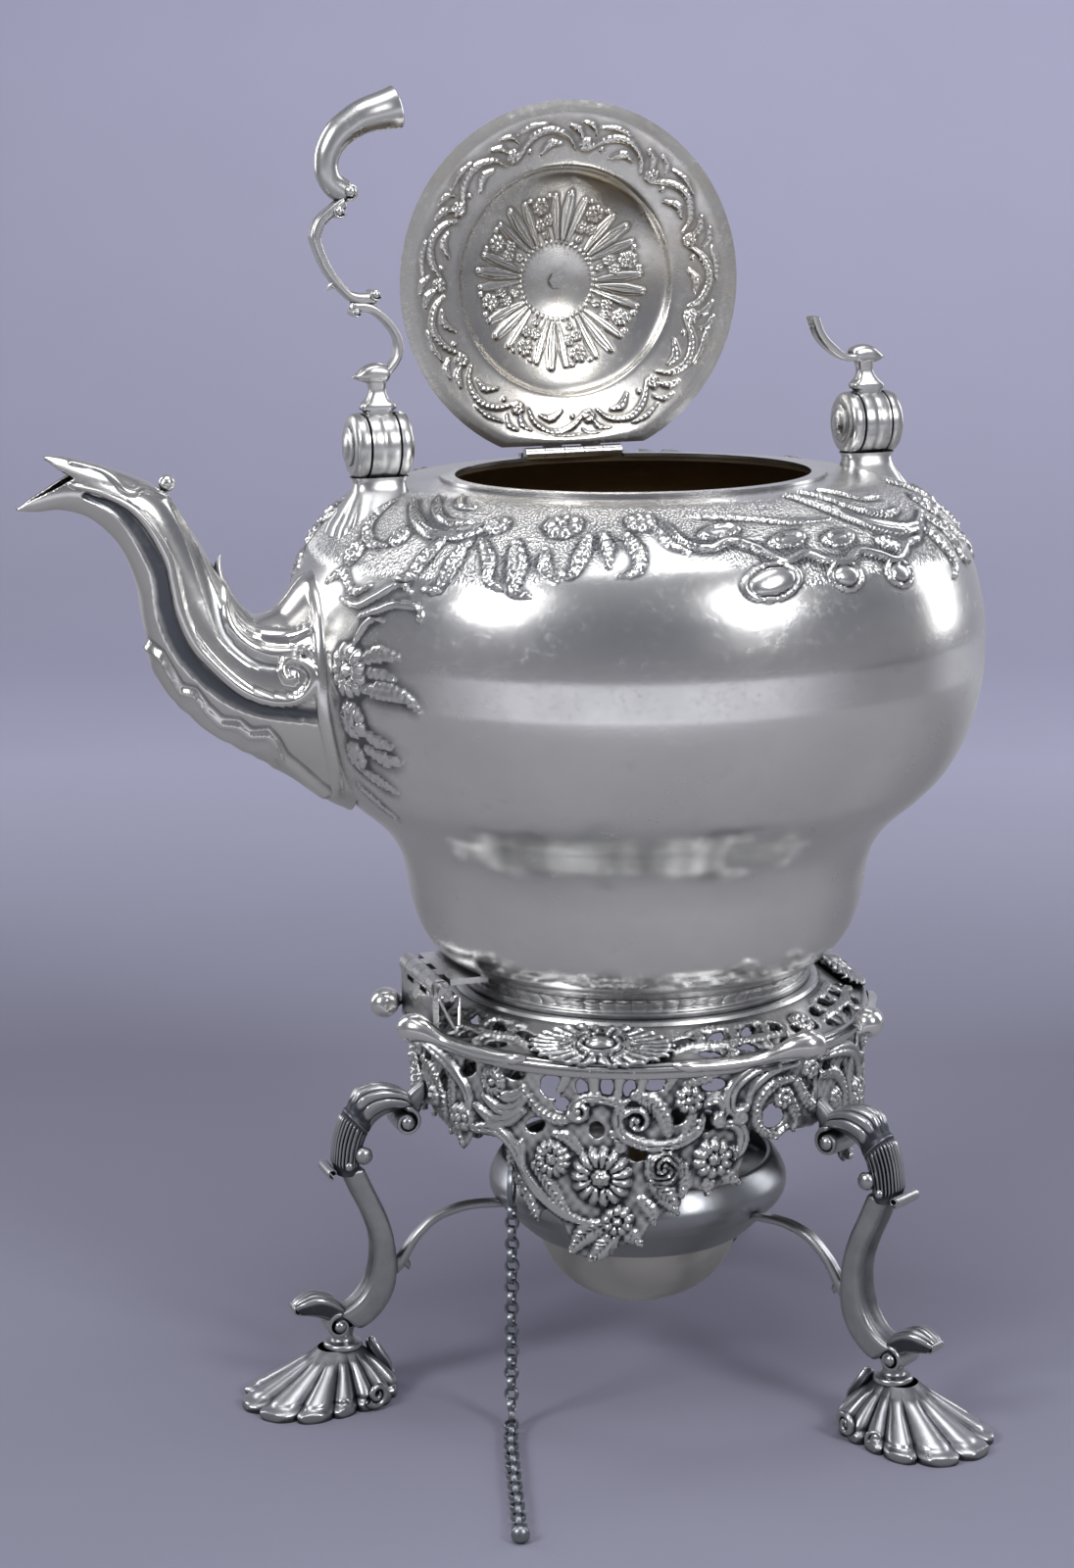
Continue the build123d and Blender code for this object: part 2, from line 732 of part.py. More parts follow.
def socket_section(back, radius):
    """Round section of the socket, a distance back from its open end."""
    middle = SOCKET_END - SOCKET_ALONG * back
    low, high = middle - SOCKET_UP * radius, middle + SOCKET_UP * radius
    return oval_section((low.X, low.Z), (high.X, high.Z), radius, 12)


BRANCH = (
    ((6.6, 57.2), (8.0, 51.6), 2.7),
    ((8.0, 58.2), (11.8, 53.4), 2.9),
    ((8.4, 59.2), (13.9, 56.8), 3.1),
    ((8.5, 61.0), (14.5, 60.4), 3.3),
    ((7.6, 63.2), (13.9, 64.9), 3.6),
    ((5.4, 65.4), (11.2, 70.0), 4.0),
    ((2.2, 67.3), (6.6, 73.9), 4.4),
    ((-0.6, 68.2), (2.6, 76.2), 4.8),
)
with BuildPart() as front_arm_socket:
    loft(
        [
            oval_section(*moved([lower, upper], *ARM_AT), half_width, 12)
            for lower, upper, half_width in BRANCH
        ]
        + [socket_section(2.4, SOCKET_R - 0.5), socket_section(0, SOCKET_R)],
        ruled=True,
    )
    add(roll((PIVOT_R + 6.4, ARM_BASE_Z + 53.9), 2.6, 3.2, 12))
    with BuildSketch(SOCKET_PLANE.offset(-SOCKET_DEPTH)):
        Circle(SOCKET_BORE_R)
    extrude(amount=2 * SOCKET_DEPTH, mode=Mode.SUBTRACT)
    add(front_arm_strap.part, mode=Mode.SUBTRACT)
keep(turned(front_arm_socket.part.solids().sort_by(SortBy.VOLUME)[-1], SPOUT_ANGLE), "front_arm_socket")

# Broken-off stub of the rear arm
with BuildPart() as rear_arm_stub:
    add(
        strap(
            moved(STUB_OUTER, PIVOT_R - REAR_INWARD, ARM_BASE_Z),
            moved(STUB_INNER, PIVOT_R - REAR_INWARD, ARM_BASE_Z),
            ARM_WIDTH / 2 - 0.3,
        )
    )
    add(Location((-REAR_INWARD, 0, 0)) * rear_arm_root, mode=Mode.SUBTRACT)
keep(rear_arm_stub.part.solids().sort_by(SortBy.VOLUME)[-1], "rear_arm_stub")

# Gallery top: the kettle's seat, the sloping pierced plate round it and the band below
PLATE_Z = SEAT_Z - 1.2
EDGE_Z = PLATE_Z - PLATE_DROP
HOLE_AT_R = (SEAT_R + PLATE_R) / 2 - 0.8
with BuildPart() as gallery_top:
    with BuildSketch(Plane.XZ):
        with BuildLine():
            Polyline(
                (SEAT_HOLE_R, SEAT_Z - SEAT_THICKNESS),
                (SEAT_HOLE_R, SEAT_Z),
                (SEAT_R, SEAT_Z),
                (SEAT_R + 0.6, PLATE_Z),
                (PLATE_R, EDGE_Z),
                (PLATE_R, EDGE_Z - PLATE_THICKNESS),
                (APRON_R, EDGE_Z - PLATE_THICKNESS),
                (APRON_R, BAND_Z),
                (APRON_R - APRON_WALL, BAND_Z),
                (APRON_R - APRON_WALL, EDGE_Z - 0.2),
                (SEAT_R, PLATE_Z - PLATE_THICKNESS),
                close=True,
            )
        make_face()
    revolve(axis=Axis.Z)
    for shell_angle in SHELL_ANGLES:
        for side in (-1, 1):
            for place in range(HOLES_PER_SIDE):
                hole_angle = shell_angle + side * (22 + 11 * place)
                with BuildSketch(Plane.XY.offset(EDGE_Z - 1)):
                    with Locations(Location((0, 0, 0), (0, 0, hole_angle))):
                        with Locations(Location((HOLE_AT_R, 0, 0), (0, 0, 55 * side))):
                            RectangleRounded(6.0, 2.8, 1.2)
                extrude(amount=PLATE_DROP + 4, mode=Mode.SUBTRACT)
keep(gallery_top.part, "gallery_top")


def on_circle(radius, angle, height):
    """A point at a radius, an angle from +X and a height."""
    return (radius * cos(radians(angle)), radius * sin(radians(angle)), height)


# One panel of the pierced apron, drawn about +X: its lower edge by angle and height
APRON_EDGE = (
    (-60.0, 77.0),
    (-52.0, 76.4),
    (-44.0, 75.6),
    (-40.0, 71.2),
    (-36.0, 74.6),
    (-31.0, 76.8),
    (-26.0, 76.0),
    (-24.6, 68.4),
    (-21.4, 67.6),
    (-18.6, 60.0),
    (-12.0, 58.2),
    (-7.4, 51.4),
    (-1.6, 47.8),
    (4.0, 51.6),
    (9.6, 54.4),
    (12.0, 59.4),
    (20.0, 61.6),
    (27.0, 64.8),
    (34.0, 67.0),
    (36.6, 79.6),
    (42.0, 79.0),
    (46.0, 76.2),
    (52.0, 77.0),
    (60.0, 77.0),
)
APRON_HOLES = (
    (-51.0, 86.0, 3.6, 2.4),
    (-33.0, 88.4, 3.4, 2.2),
    (-16.4, 82.4, 2.6, 2.0),
    (-12.0, 92.0, 5.0, 2.6),
    (-0.6, 82.7, 2.6, 2.0),
    (8.5, 76.0, 2.6, 2.0),
    (13.3, 93.6, 4.0, 2.4),
    (18.6, 85.6, 2.8, 2.4),
    (28.1, 83.2, 3.2, 2.2),
    (43.0, 88.6, 3.4, 2.4),
)
APRON_FLOWERS = (
    (-27.8, 92.0, 4.2),
    (-40.0, 78.6, 3.8),
    (-11.4, 72.6, 4.4),
    (1.0, 68.0, 5.6),
    (15.8, 73.3, 4.4),
    (27.3, 74.6, 4.0),
    (21.3, 90.7, 3.0),
    (35.2, 88.0, 3.6),
    (52.0, 83.6, 3.6),
)


def facing(angle, height, radius):
    """Plane at a point of the apron, looking straight out."""
    return Plane(
        origin=on_circle(radius, angle, height),
        x_dir=on_circle(1, angle + 90, 0),
        z_dir=on_circle(1, angle, 0),
    )


EYE_TURN = CHAIN_ANGLE - SHELL_ANGLES[0]
with BuildPart() as apron:
    for edge_angle, edge_z in APRON_EDGE:
        edge_plane = Plane(
            origin=(0, 0, 0),
            x_dir=on_circle(1, edge_angle, 0),
            z_dir=on_circle(1, edge_angle - 90, 0),
        )
        with BuildSketch(edge_plane):
            with BuildLine():
                Polyline(
                    (APRON_R - APRON_WALL, edge_z),
                    (APRON_R, edge_z),
                    (APRON_R, BAND_Z),
                    (APRON_R - APRON_WALL, BAND_Z),
                    close=True,
                )
            make_face()
    loft(ruled=True)
    for hole_angle, hole_z, hole_width, hole_height in APRON_HOLES:
        with BuildSketch(facing(hole_angle, hole_z, APRON_R - 6)):
            RegularPolygon(1, 8)
            scale(by=(hole_width, hole_height, 1))
        extrude(amount=12, mode=Mode.SUBTRACT)
    with BuildSketch(facing(EYE_TURN, CHAIN_EYE_Z, APRON_R - 6)):
        RegularPolygon(CHAIN_EYE_R, 10)
    extrude(amount=12, mode=Mode.SUBTRACT)


def flower(radius):
    """Petals round a raised eye, drawn flat."""
    with BuildPart() as blossom:
        for height, share in ((0, 0.9), (1.3, 1.0), (2.3, 0.55)):
            with BuildSketch(Plane.XY.offset(height)):
                with BuildLine():
                    Polyline(
                        *[
                            (
                                radius * share * (0.8 if step % 2 else 1) * cos(pi * step / PETALS),
                                radius * share * (0.8 if step % 2 else 1) * sin(pi * step / PETALS),
                            )
                            for step in range(2 * PETALS)
                        ],
                        close=True,
                    )
                make_face()
        loft(ruled=True)
        with BuildSketch(Plane.XY.offset(2.3)):
            RegularPolygon(0.3 * radius, 8)
        extrude(amount=0.7, taper=20)
    return blossom.part


with BuildPart() as apron_flowers:
    for flower_angle, flower_z, flower_r in APRON_FLOWERS:
        place = facing(flower_angle, flower_z, APRON_R - 1)
        add(place.location * flower(flower_r))
    add(apron.part, mode=Mode.SUBTRACT)

# Scalloped shell above each pendant, its hinge toward the kettle
with BuildPart() as shell_form:
    fan_plane = Plane(Location((PLATE_R - 4.8, 0, EDGE_Z + 2.4), (0, PLATE_SLOPE, 0)))
    for height, share in ((0, 1.0), (1.2, 0.96), (2.6, 0.45)):
        corners = []
        for step in range(2 * SHELL_RIBS + 1):
            turn = radians(-84 + 168 * step / (2 * SHELL_RIBS))
            length = share * (0.93 if step % 2 else 1.0)
            corners.append((SHELL_REACH * length * cos(turn), SHELL_WIDTH / 2 * length * sin(turn)))
        with BuildSketch(fan_plane.offset(height)):
            with BuildLine():
                Polyline(*corners, (-6.5 * share, 0), close=True)
            make_face()
    loft(ruled=True)
    add(gallery_top.part, mode=Mode.SUBTRACT)

# Scroll rails of the border, each ending in a rolled knob beside a leg
RAIL_Z = EDGE_Z - 0.6
KNOB_SIDE = 60 - KNOB_TURN
with BuildPart() as scrolls:
    for side in (-1, 1):
        add(
            rod(
                [
                    on_circle(PLATE_R + 1.0, side * 15, RAIL_Z),
                    on_circle(PLATE_R + 0.4, side * 24, RAIL_Z),
                    on_circle(PLATE_R + 0.2, side * 34, RAIL_Z),
                    on_circle(PLATE_R + 2.0, side * 42, RAIL_Z + 0.4),
                    on_circle(KNOB_AT_R - 1.4, side * (KNOB_SIDE - 1), RAIL_Z + 1.6),
                ],
                [RAIL_R] * 5,
            )
        )
        knob = roll((KNOB_AT_R, RAIL_Z + 3.2), KNOB_R, KNOB_WIDTH / 2)
        add(turned(knob, side * KNOB_SIDE))
    add(gallery_top.part, mode=Mode.SUBTRACT)
    add(shell_form.part, mode=Mode.SUBTRACT)

for number, shell_angle in enumerate(SHELL_ANGLES, 1):
    keep(turned(apron.part, shell_angle), f"apron_{number}")
    keep(turned(apron_flowers.part, shell_angle), f"apron_flowers_{number}")
    keep(turned(shell_form.part, shell_angle), f"gallery_shell_{number}")
    keep(turned(scrolls.part, shell_angle), f"gallery_scrolls_{number}")

# Ring that holds the lamp
with BuildPart() as lamp_ring:
    with BuildSketch(Plane.XZ):
        with BuildLine():
            Polyline(
                (36.2, LAMP_RING_TOP_Z),
                (LAMP_RING_R, 51.0),
                (37.0, 45.0),
                (30.6, 38.4),
                (LAMP_HOLE_R, 37.6),
                (LAMP_HOLE_R, LAMP_SEAT_Z),
                (LAMP_SEAT_R, LAMP_SEAT_Z),
                (35.6, 45.8),
                (38.5, 51.0),
                (34.8, LAMP_RING_TOP_Z - 0.4),
                close=True,
            )
        make_face()
    revolve(axis=Axis.Z)
keep(lamp_ring.part, "lamp_ring")

# Leg: shaft, rolled knee with its curl, ankle volute with its leaf, strut to the apron
# drawn by the distance out from the apron and the height
SHAFT_OUTLINE = (
    ((17.4, 64.0), (23.0, 63.0)),
    ((14.0, 56.2), (20.4, 55.4)),
    ((11.5, 50.1), (17.6, 49.6)),
    ((9.3, 43.3), (15.5, 42.6)),
    ((8.7, 36.0), (15.6, 36.0)),
    ((9.1, 29.5), (17.2, 30.8)),
    ((11.8, 24.1), (19.8, 27.2)),
    ((16.0, 20.0), (23.4, 24.8)),
    ((21.0, 17.9), (27.6, 23.4)),
)
KNEE_OUTLINE = (
    (2.4, 77.0),
    (4.4, 79.8),
    (7.8, 82.2),
    (12.5, 83.5),
    (18.3, 82.1),
    (21.9, 77.2),
    (24.1, 71.1),
    (24.6, 65.6),
    (25.6, 63.8),
    (26.8, 64.8),
    (27.6, 63.2),
    (25.4, 60.8),
    (22.4, 60.2),
    (18.4, 62.6),
    (17.2, 68.0),
    (14.8, 73.2),
    (10.6, 76.0),
)
ANKLE_LEAF = (
    (23.0, 24.0),
    (26.6, 28.0),
    (31.0, 29.2),
    (35.0, 27.4),
    (37.4, 24.6),
    (33.4, 24.0),
    (29.6, 22.4),
    (27.0, 20.0),
)
STRUT_OUTLINE = ((6.4, 79.0), (-0.8, 84.6), (-0.8, 79.8), (2.6, 74.4))
with BuildPart() as leg:
    loft(
        [
            oval_section(*moved(outline, APRON_R), SHAFT_WIDTH / 2, 8)
            for outline in SHAFT_OUTLINE
        ],
        ruled=True,
    )
    add(prism(moved(KNEE_OUTLINE, APRON_R), KNEE_WIDTH / 2))
    add(roll((APRON_R + 5.8, 74.4), 4.3, VOLUTE_WIDTH / 2))
    add(roll((APRON_R + 17.6, 66.7), 2.4, KNEE_WIDTH / 2 + 1.8, 10))
    add(prism(moved(ANKLE_LEAF, APRON_R), KNEE_WIDTH / 2 - 0.4))
    add(roll((APRON_R + 25.4, 20.6), 3.8, KNEE_WIDTH / 2 + 0.2, 12))
    add(prism(moved(STRUT_OUTLINE, APRON_R), STRUT_WIDTH / 2))
    for side in (-1, 1):
        add(turned(apron.part, side * 60), mode=Mode.SUBTRACT)

# Shell foot: a scalloped fan rising to the leg's neck, steeper behind than in front
FOOT_STEPS = (
    (0, 1.0, 1.0),
    (2.2, 0.98, 1.0),
    (5.4, 0.74, 0.92),
    (9.6, 0.46, 0.66),
    (FOOT_TOP_Z, 0.26, 0.34),
)
with BuildPart() as foot:
    for height, front_share, back_share in FOOT_STEPS:
        corners = []
        for step in range(FOOT_POINTS):
            turn = 2 * pi * step / FOOT_POINTS
            front = max(cos(turn), 0) ** 1.4
            share = back_share + (front_share - back_share) * (1 + cos(turn)) / 2
            scallop = 1.0 - 0.05 * (step % 2)
            length = (FOOT_SIDE + (FOOT_FRONT - FOOT_SIDE) * front) * share * scallop
            corners.append((length * cos(turn), length * sin(turn)))
        with BuildSketch(Plane(origin=(ANKLE_R, 0, height))):
            with BuildLine():
                Polyline(*corners, close=True)
            make_face()
    loft(ruled=True)
    with BuildSketch(Plane(origin=(ANKLE_R, 0, FOOT_TOP_Z))):
        RegularPolygon(5.0, 16)
    extrude(amount=1.4)
    with BuildSketch(Plane(origin=(ANKLE_R, 0, FOOT_TOP_Z))):
        RegularPolygon(NECK_R, 12)
    extrude(amount=4.6)
    add(leg.part, mode=Mode.SUBTRACT)

# Bracket from the leg to the lamp ring, with its thorn: the first list runs in from the
# leg by the distance from the apron, the second reaches the ring by the distance from it
BRACKET_TOP = ((10.6, 36.0), (8.0, 36.0), (4.3, 41.2), (-0.2, 45.7), (-6.1, 48.5), (-14.2, 49.2))
BRACKET_END = ((-2.1, 48.7), (-2.9, 46.2))
BRACKET_FOOT = (
    (-9.0, 46.3),
    (-3.1, 44.6),
    (2.1, 40.2),
    (5.6, 34.4),
    (5.0, 32.4),
    (7.6, 32.0),
    (10.6, 30.0),
)
with BuildPart() as bracket:
    add(
        prism(
            moved(BRACKET_TOP, APRON_R) + moved(BRACKET_END, LAMP_RING_R) + moved(BRACKET_FOOT, APRON_R),
            BRACKET_WIDTH / 2,
        )
    )
    add(leg.part, mode=Mode.SUBTRACT)
    add(lamp_ring.part, mode=Mode.SUBTRACT)

for number, leg_angle in enumerate(LEG_ANGLES, 1):
    keep(turned(leg.part, leg_angle), f"leg_{number}")
    keep(turned(foot.part, leg_angle), f"foot_{number}")
    keep(turned(bracket.part, leg_angle), f"bracket_{number}")

# Lamp: bowl, domed cover, burner collar, wick tube and wick
with BuildPart() as lamp_bowl:
    with BuildSketch(Plane.XZ):
        with BuildLine():
            ThreePointArc((BOWL_R, LAMP_SEAT_Z), (BOWL_R - 2.2, 30.6), (BOWL_R - 8.4, 22.2))
            Polyline(
                (BOWL_R - 8.4, 22.2),
                (11.0, 18.5),
                (0, BOWL_FLOOR_Z),
                (0, BOWL_FLOOR_Z + 1.0),
                (10.7, 19.4),
                (BOWL_R - 9.1, 23.0),
            )
            ThreePointArc((BOWL_R - 9.1, 23.0), (BOWL_R - 3.2, 31.0), (BOWL_R - 1.0, LAMP_SEAT_Z))
            Polyline(
                (BOWL_R - 1.0, LAMP_SEAT_Z),
                (BOWL_R - 1.0, LAMP_SEAT_Z + 1.0),
                (FLANGE_R, LAMP_SEAT_Z + 1.0),
                (FLANGE_R, LAMP_SEAT_Z),
                (BOWL_R, LAMP_SEAT_Z),
            )
        make_face()
    revolve(axis=Axis.Z)
keep(lamp_bowl.part, "lamp_bowl")

COVER_Z = LAMP_SEAT_Z + 1.0
with BuildPart() as lamp_cover:
    with BuildSketch(Plane.XZ):
        with BuildLine():
            Polyline(
                (TUBE_R, COVER_Z + 2.6),
                (TUBE_R, COVER_Z + 3.8),
                (10.0, COVER_Z + 3.8),
                (22.0, COVER_Z + 2.4),
                (27.6, COVER_Z),
                (24.6, COVER_Z),
                (20.0, COVER_Z + 1.5),
                (10.0, COVER_Z + 2.6),
                close=True,
            )
        make_face()
    revolve(axis=Axis.Z)
keep(lamp_cover.part, "lamp_cover")

with BuildPart() as burner_collar:
    with BuildSketch(Plane.XY.offset(COVER_Z + 3.8)):
        RegularPolygon(COLLAR_R, 20)
        Circle(TUBE_R, mode=Mode.SUBTRACT)
    extrude(amount=COLLAR_TOP_Z - COVER_Z - 3.8)
keep(burner_collar.part, "burner_collar")

with BuildPart() as wick_tube:
    with BuildSketch(Plane.XY.offset(COVER_Z - 6)):
        Circle(TUBE_R)
        Circle(WICK_R, mode=Mode.SUBTRACT)
    extrude(amount=TUBE_TOP_Z - COVER_Z + 6)
keep(wick_tube.part, "wick_tube")

with BuildPart() as wick:
    with BuildSketch(Plane.XY.offset(COVER_Z - 6)):
        Circle(WICK_R)
    extrude(amount=WICK_TOP_Z - COVER_Z + 6)
keep(wick.part, "wick")

# Hinge on which the kettle tips: leaf on the gallery, leaf on the kettle, loose pin
TILT_PLANE = Plane(origin=(TILT_X, 0, TILT_Z), x_dir=(1, 0, 0), z_dir=(0, 1, 0))
TILT_BORE_R = TILT_PIN_R + PIN_CLEARANCE
CLEAR_R = TILT_BARREL_R + AIR
tilt_step = TILT_LENGTH / TILT_KNUCKLES
HALF_LEAF = TILT_LENGTH / 2

with BuildPart() as stand_hinge_leaf:
    add(knuckles(TILT_PLANE, TILT_BARREL_R, TILT_BORE_R, TILT_LENGTH, TILT_KNUCKLES, 0))
    low_x, high_x = TILT_X - LEAF_THICKNESS - 0.4, TILT_X - 0.4
    for place in range(0, TILT_KNUCKLES, 2):
        low_y = -HALF_LEAF + place * tilt_step + PLAY / 2
        high_y = low_y + tilt_step - PLAY
        add(block((low_x, low_y, TILT_Z - CLEAR_R - 1), (high_x, high_y, TILT_Z - TILT_BORE_R - 0.3)))
    add(block((low_x, -HALF_LEAF, EDGE_Z - 1), (high_x, HALF_LEAF, TILT_Z - CLEAR_R)))
    add(gallery_top.part, mode=Mode.SUBTRACT)
keep(stand_hinge_leaf.part, "stand_hinge_leaf")

with BuildPart() as kettle_tilt_leaf:
    add(knuckles(TILT_PLANE, TILT_BARREL_R, TILT_BORE_R, TILT_LENGTH, TILT_KNUCKLES, 1))
    low_z, high_z = BODY_Z + 0.2, BODY_Z + 0.2 + LEAF_THICKNESS
    for place in range(1, TILT_KNUCKLES, 2):
        low_y = -HALF_LEAF + place * tilt_step + PLAY / 2
        high_y = low_y + tilt_step - PLAY
        add(block((TILT_X + TILT_BORE_R + 0.3, low_y, low_z), (TILT_X + CLEAR_R + 1, high_y, high_z)))
    add(block((TILT_X + CLEAR_R, -HALF_LEAF, low_z), (0.8 - BODY_FOOT_R, HALF_LEAF, high_z)))
    add(body_form.part, mode=Mode.SUBTRACT)
keep(kettle_tilt_leaf.part, "kettle_tilt_leaf")

with BuildPart() as tilt_pin:
    with BuildSketch(TILT_PLANE.offset(-HALF_LEAF)):
        Circle(TILT_PIN_R)
    extrude(amount=TILT_LENGTH)
    with BuildSketch(TILT_PLANE.offset(-HALF_LEAF - PLAY)):
        Rectangle(TAB_WIDTH, TAB_WIDTH)
    extrude(amount=-1.0)
    with BuildSketch(TILT_PLANE.offset(-HALF_LEAF - PLAY - 1)):
        Circle(TILT_PIN_R)
    extrude(amount=1 + 2 * PLAY)
keep(tilt_pin.part, "tilt_pin")

BEAD_Y = -HALF_LEAF - PLAY - 1
LOOP_Y = BEAD_Y - BEAD_LENGTH + 2.6
with BuildPart() as pin_bead:
    for share, radius in ((0, 0.8), (0.3, BEAD_R), (0.75, BEAD_R), (1.0, 0.7)):
        with BuildSketch(TILT_PLANE.offset(BEAD_Y - share * BEAD_LENGTH)):
            RegularPolygon(radius, 10)
    loft(ruled=True)
    with BuildSketch(Plane.YZ.offset(TILT_X - 4)):
        with Locations((LOOP_Y, TILT_Z)):
            RegularPolygon(LOOP_WIRE_R + 0.25, 8)
    extrude(amount=8, mode=Mode.SUBTRACT)
keep(pin_bead.part, "pin_bead")

# Three-cornered wire loop through the bead
with BuildPart() as pin_loop:
    with BuildLine() as loop_path:
        FilletPolyline(
            (TILT_X - 2.9, LOOP_Y, TILT_Z),
            (TILT_X + 2.9, LOOP_Y, TILT_Z),
            (TILT_X, LOOP_Y - 8.0, TILT_Z - 8.6),
            radius=0.9,
            close=True,
        )
    with BuildSketch(Plane(origin=loop_path.line @ 0, z_dir=loop_path.line % 0)):
        RegularPolygon(LOOP_WIRE_R, 8)
    sweep(path=loop_path.line)
keep(pin_loop.part, "pin_loop")

# Chain: ring through the apron's eye, hanging and lying stretches, ball at the end
RING_Z = CHAIN_EYE_Z - CHAIN_RING_R
CHAIN_X, CHAIN_Y, RING_Z = on_circle(CHAIN_AT_R, CHAIN_ANGLE, RING_Z)
ring_plane = Plane(
    origin=(CHAIN_X, CHAIN_Y, RING_Z),
    x_dir=(0, 0, 1),
    z_dir=on_circle(1, CHAIN_ANGLE + CHAIN_RING_TURN + 90, 0),
)
with BuildPart() as chain_ring:
    with BuildLine(ring_plane) as ring_path:
        CenterArc((0, 0), CHAIN_RING_R, 0, 360)
    with BuildSketch(Plane(origin=ring_path.line @ 0, z_dir=ring_path.line % 0)):
        RegularPolygon(CHAIN_WIRE_R, 8)
    sweep(path=ring_path.line)
keep(chain_ring.part, "chain_ring")

DROP_TOP_Z = RING_Z - CHAIN_RING_R - CHAIN_WIRE_R
CHAIN_ROUTE = (
    (CHAIN_X, CHAIN_Y, DROP_TOP_Z),
    (CHAIN_X - 0.9, CHAIN_Y + 0.4, CHAIN_R + 0.05),
    (-55.4, -54.2, CHAIN_R + 0.05),
    (-67.6, -97.4, CHAIN_R + 0.05),
)
runs = [Vector(*b) - Vector(*a) for a, b in zip(CHAIN_ROUTE, CHAIN_ROUTE[1:])]
chain_radii = [
    0.45 * min(before.length, after.length) / tan(radians(before.get_angle(after)) / 2)
    for before, after in zip(runs, runs[1:])
]
print("Chain bend radii:", [round(radius, 1) for radius in chain_radii])
print("Chain runs:", [round(run.length, 1) for run in runs])
with BuildPart() as chain:
    with BuildLine() as chain_path:
        FilletPolyline(*CHAIN_ROUTE, radius=chain_radii)
    with BuildSketch(Plane(origin=CHAIN_ROUTE[0], z_dir=(0, 0, -1))):
        RegularPolygon(CHAIN_R, 10)
    sweep(path=chain_path.line)
print("Chain length:", round(sum(edge.length for edge in chain_path.line.edges()), 1))
keep(chain.part, "chain")

with BuildPart() as chain_ball:
    end_along = runs[-1].normalized()
    ball_at = Vector(*CHAIN_ROUTE[-1]) + end_along * 2.0
    for along, radius in ((-1.9, 1.4), (-0.9, CHAIN_BALL_R), (0.9, CHAIN_BALL_R), (2.0, 1.3)):
        with BuildSketch(Plane(origin=ball_at + end_along * along, x_dir=(0, 0, 1), z_dir=end_along)):
            RegularPolygon(radius, 12)
    loft(ruled=True)
    add(chain.part, mode=Mode.SUBTRACT)
keep(chain_ball.part, "chain_ball")
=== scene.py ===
"""Looks of the hot-water kettle on its spirit-lamp stand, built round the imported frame.

Metres, in the frame's own axes: the spout points to -X, the lid hinge is at +Y. The pieces
are worked out in millimetres and turned into metres when their meshes are made.
"""
import json
from math import cos, pi, radians, sin

import bmesh
import bpy
import numpy as np
from mathutils import Matrix, Vector


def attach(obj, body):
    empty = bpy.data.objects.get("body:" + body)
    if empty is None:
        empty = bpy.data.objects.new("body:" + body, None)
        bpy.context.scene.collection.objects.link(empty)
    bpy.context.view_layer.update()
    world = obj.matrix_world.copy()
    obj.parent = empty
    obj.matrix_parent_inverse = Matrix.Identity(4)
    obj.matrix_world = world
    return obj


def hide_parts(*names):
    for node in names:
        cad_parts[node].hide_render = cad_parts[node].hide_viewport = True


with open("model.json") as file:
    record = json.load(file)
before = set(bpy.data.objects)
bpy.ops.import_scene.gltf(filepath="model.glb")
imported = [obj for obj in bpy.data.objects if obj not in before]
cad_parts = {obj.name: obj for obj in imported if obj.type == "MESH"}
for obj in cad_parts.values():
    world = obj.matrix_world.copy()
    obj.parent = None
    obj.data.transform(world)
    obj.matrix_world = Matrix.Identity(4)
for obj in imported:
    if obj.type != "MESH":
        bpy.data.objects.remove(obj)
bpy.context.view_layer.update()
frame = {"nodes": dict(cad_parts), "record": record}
NODES = frame["nodes"]
MM = 0.001

# Camera: place, turn and lens found from the photograph's outlines
CAMERA_AT = Vector((-0.28128, -0.73718, 0.32687))
CAMERA_TURN = radians(249.115)
PITCH, YAW, ROLL = radians(12.053), radians(1.867), radians(0.792)
LENS = 3132.634 * 36 / 1600


def add_camera():
    toward = Vector((cos(CAMERA_TURN), sin(CAMERA_TURN), 0))
    across = Vector((-sin(CAMERA_TURN), cos(CAMERA_TURN), 0))

    def turn(x, y, z):
        return across * x - toward * y + Vector((0, 0, z))

    right = turn(cos(YAW), sin(YAW), 0)
    up = turn(-sin(YAW) * sin(PITCH), cos(YAW) * sin(PITCH), cos(PITCH))
    look = turn(-sin(YAW) * cos(PITCH), cos(YAW) * cos(PITCH), -sin(PITCH))
    side = right * cos(ROLL) - up * sin(ROLL)
    top = right * sin(ROLL) + up * cos(ROLL)
    data = bpy.data.cameras.new("camera")
    data.lens, data.sensor_width, data.clip_start, data.clip_end = LENS, 36, 0.01, 30
    camera = bpy.data.objects.new("camera", data)
    matrix = Matrix((side, top, -look)).transposed().to_4x4()
    matrix.translation = CAMERA_AT
    camera.matrix_world = matrix
    bpy.context.scene.collection.objects.link(camera)
    bpy.context.scene.camera = camera
    bpy.context.scene.view_settings.view_transform = "Standard"


add_camera()


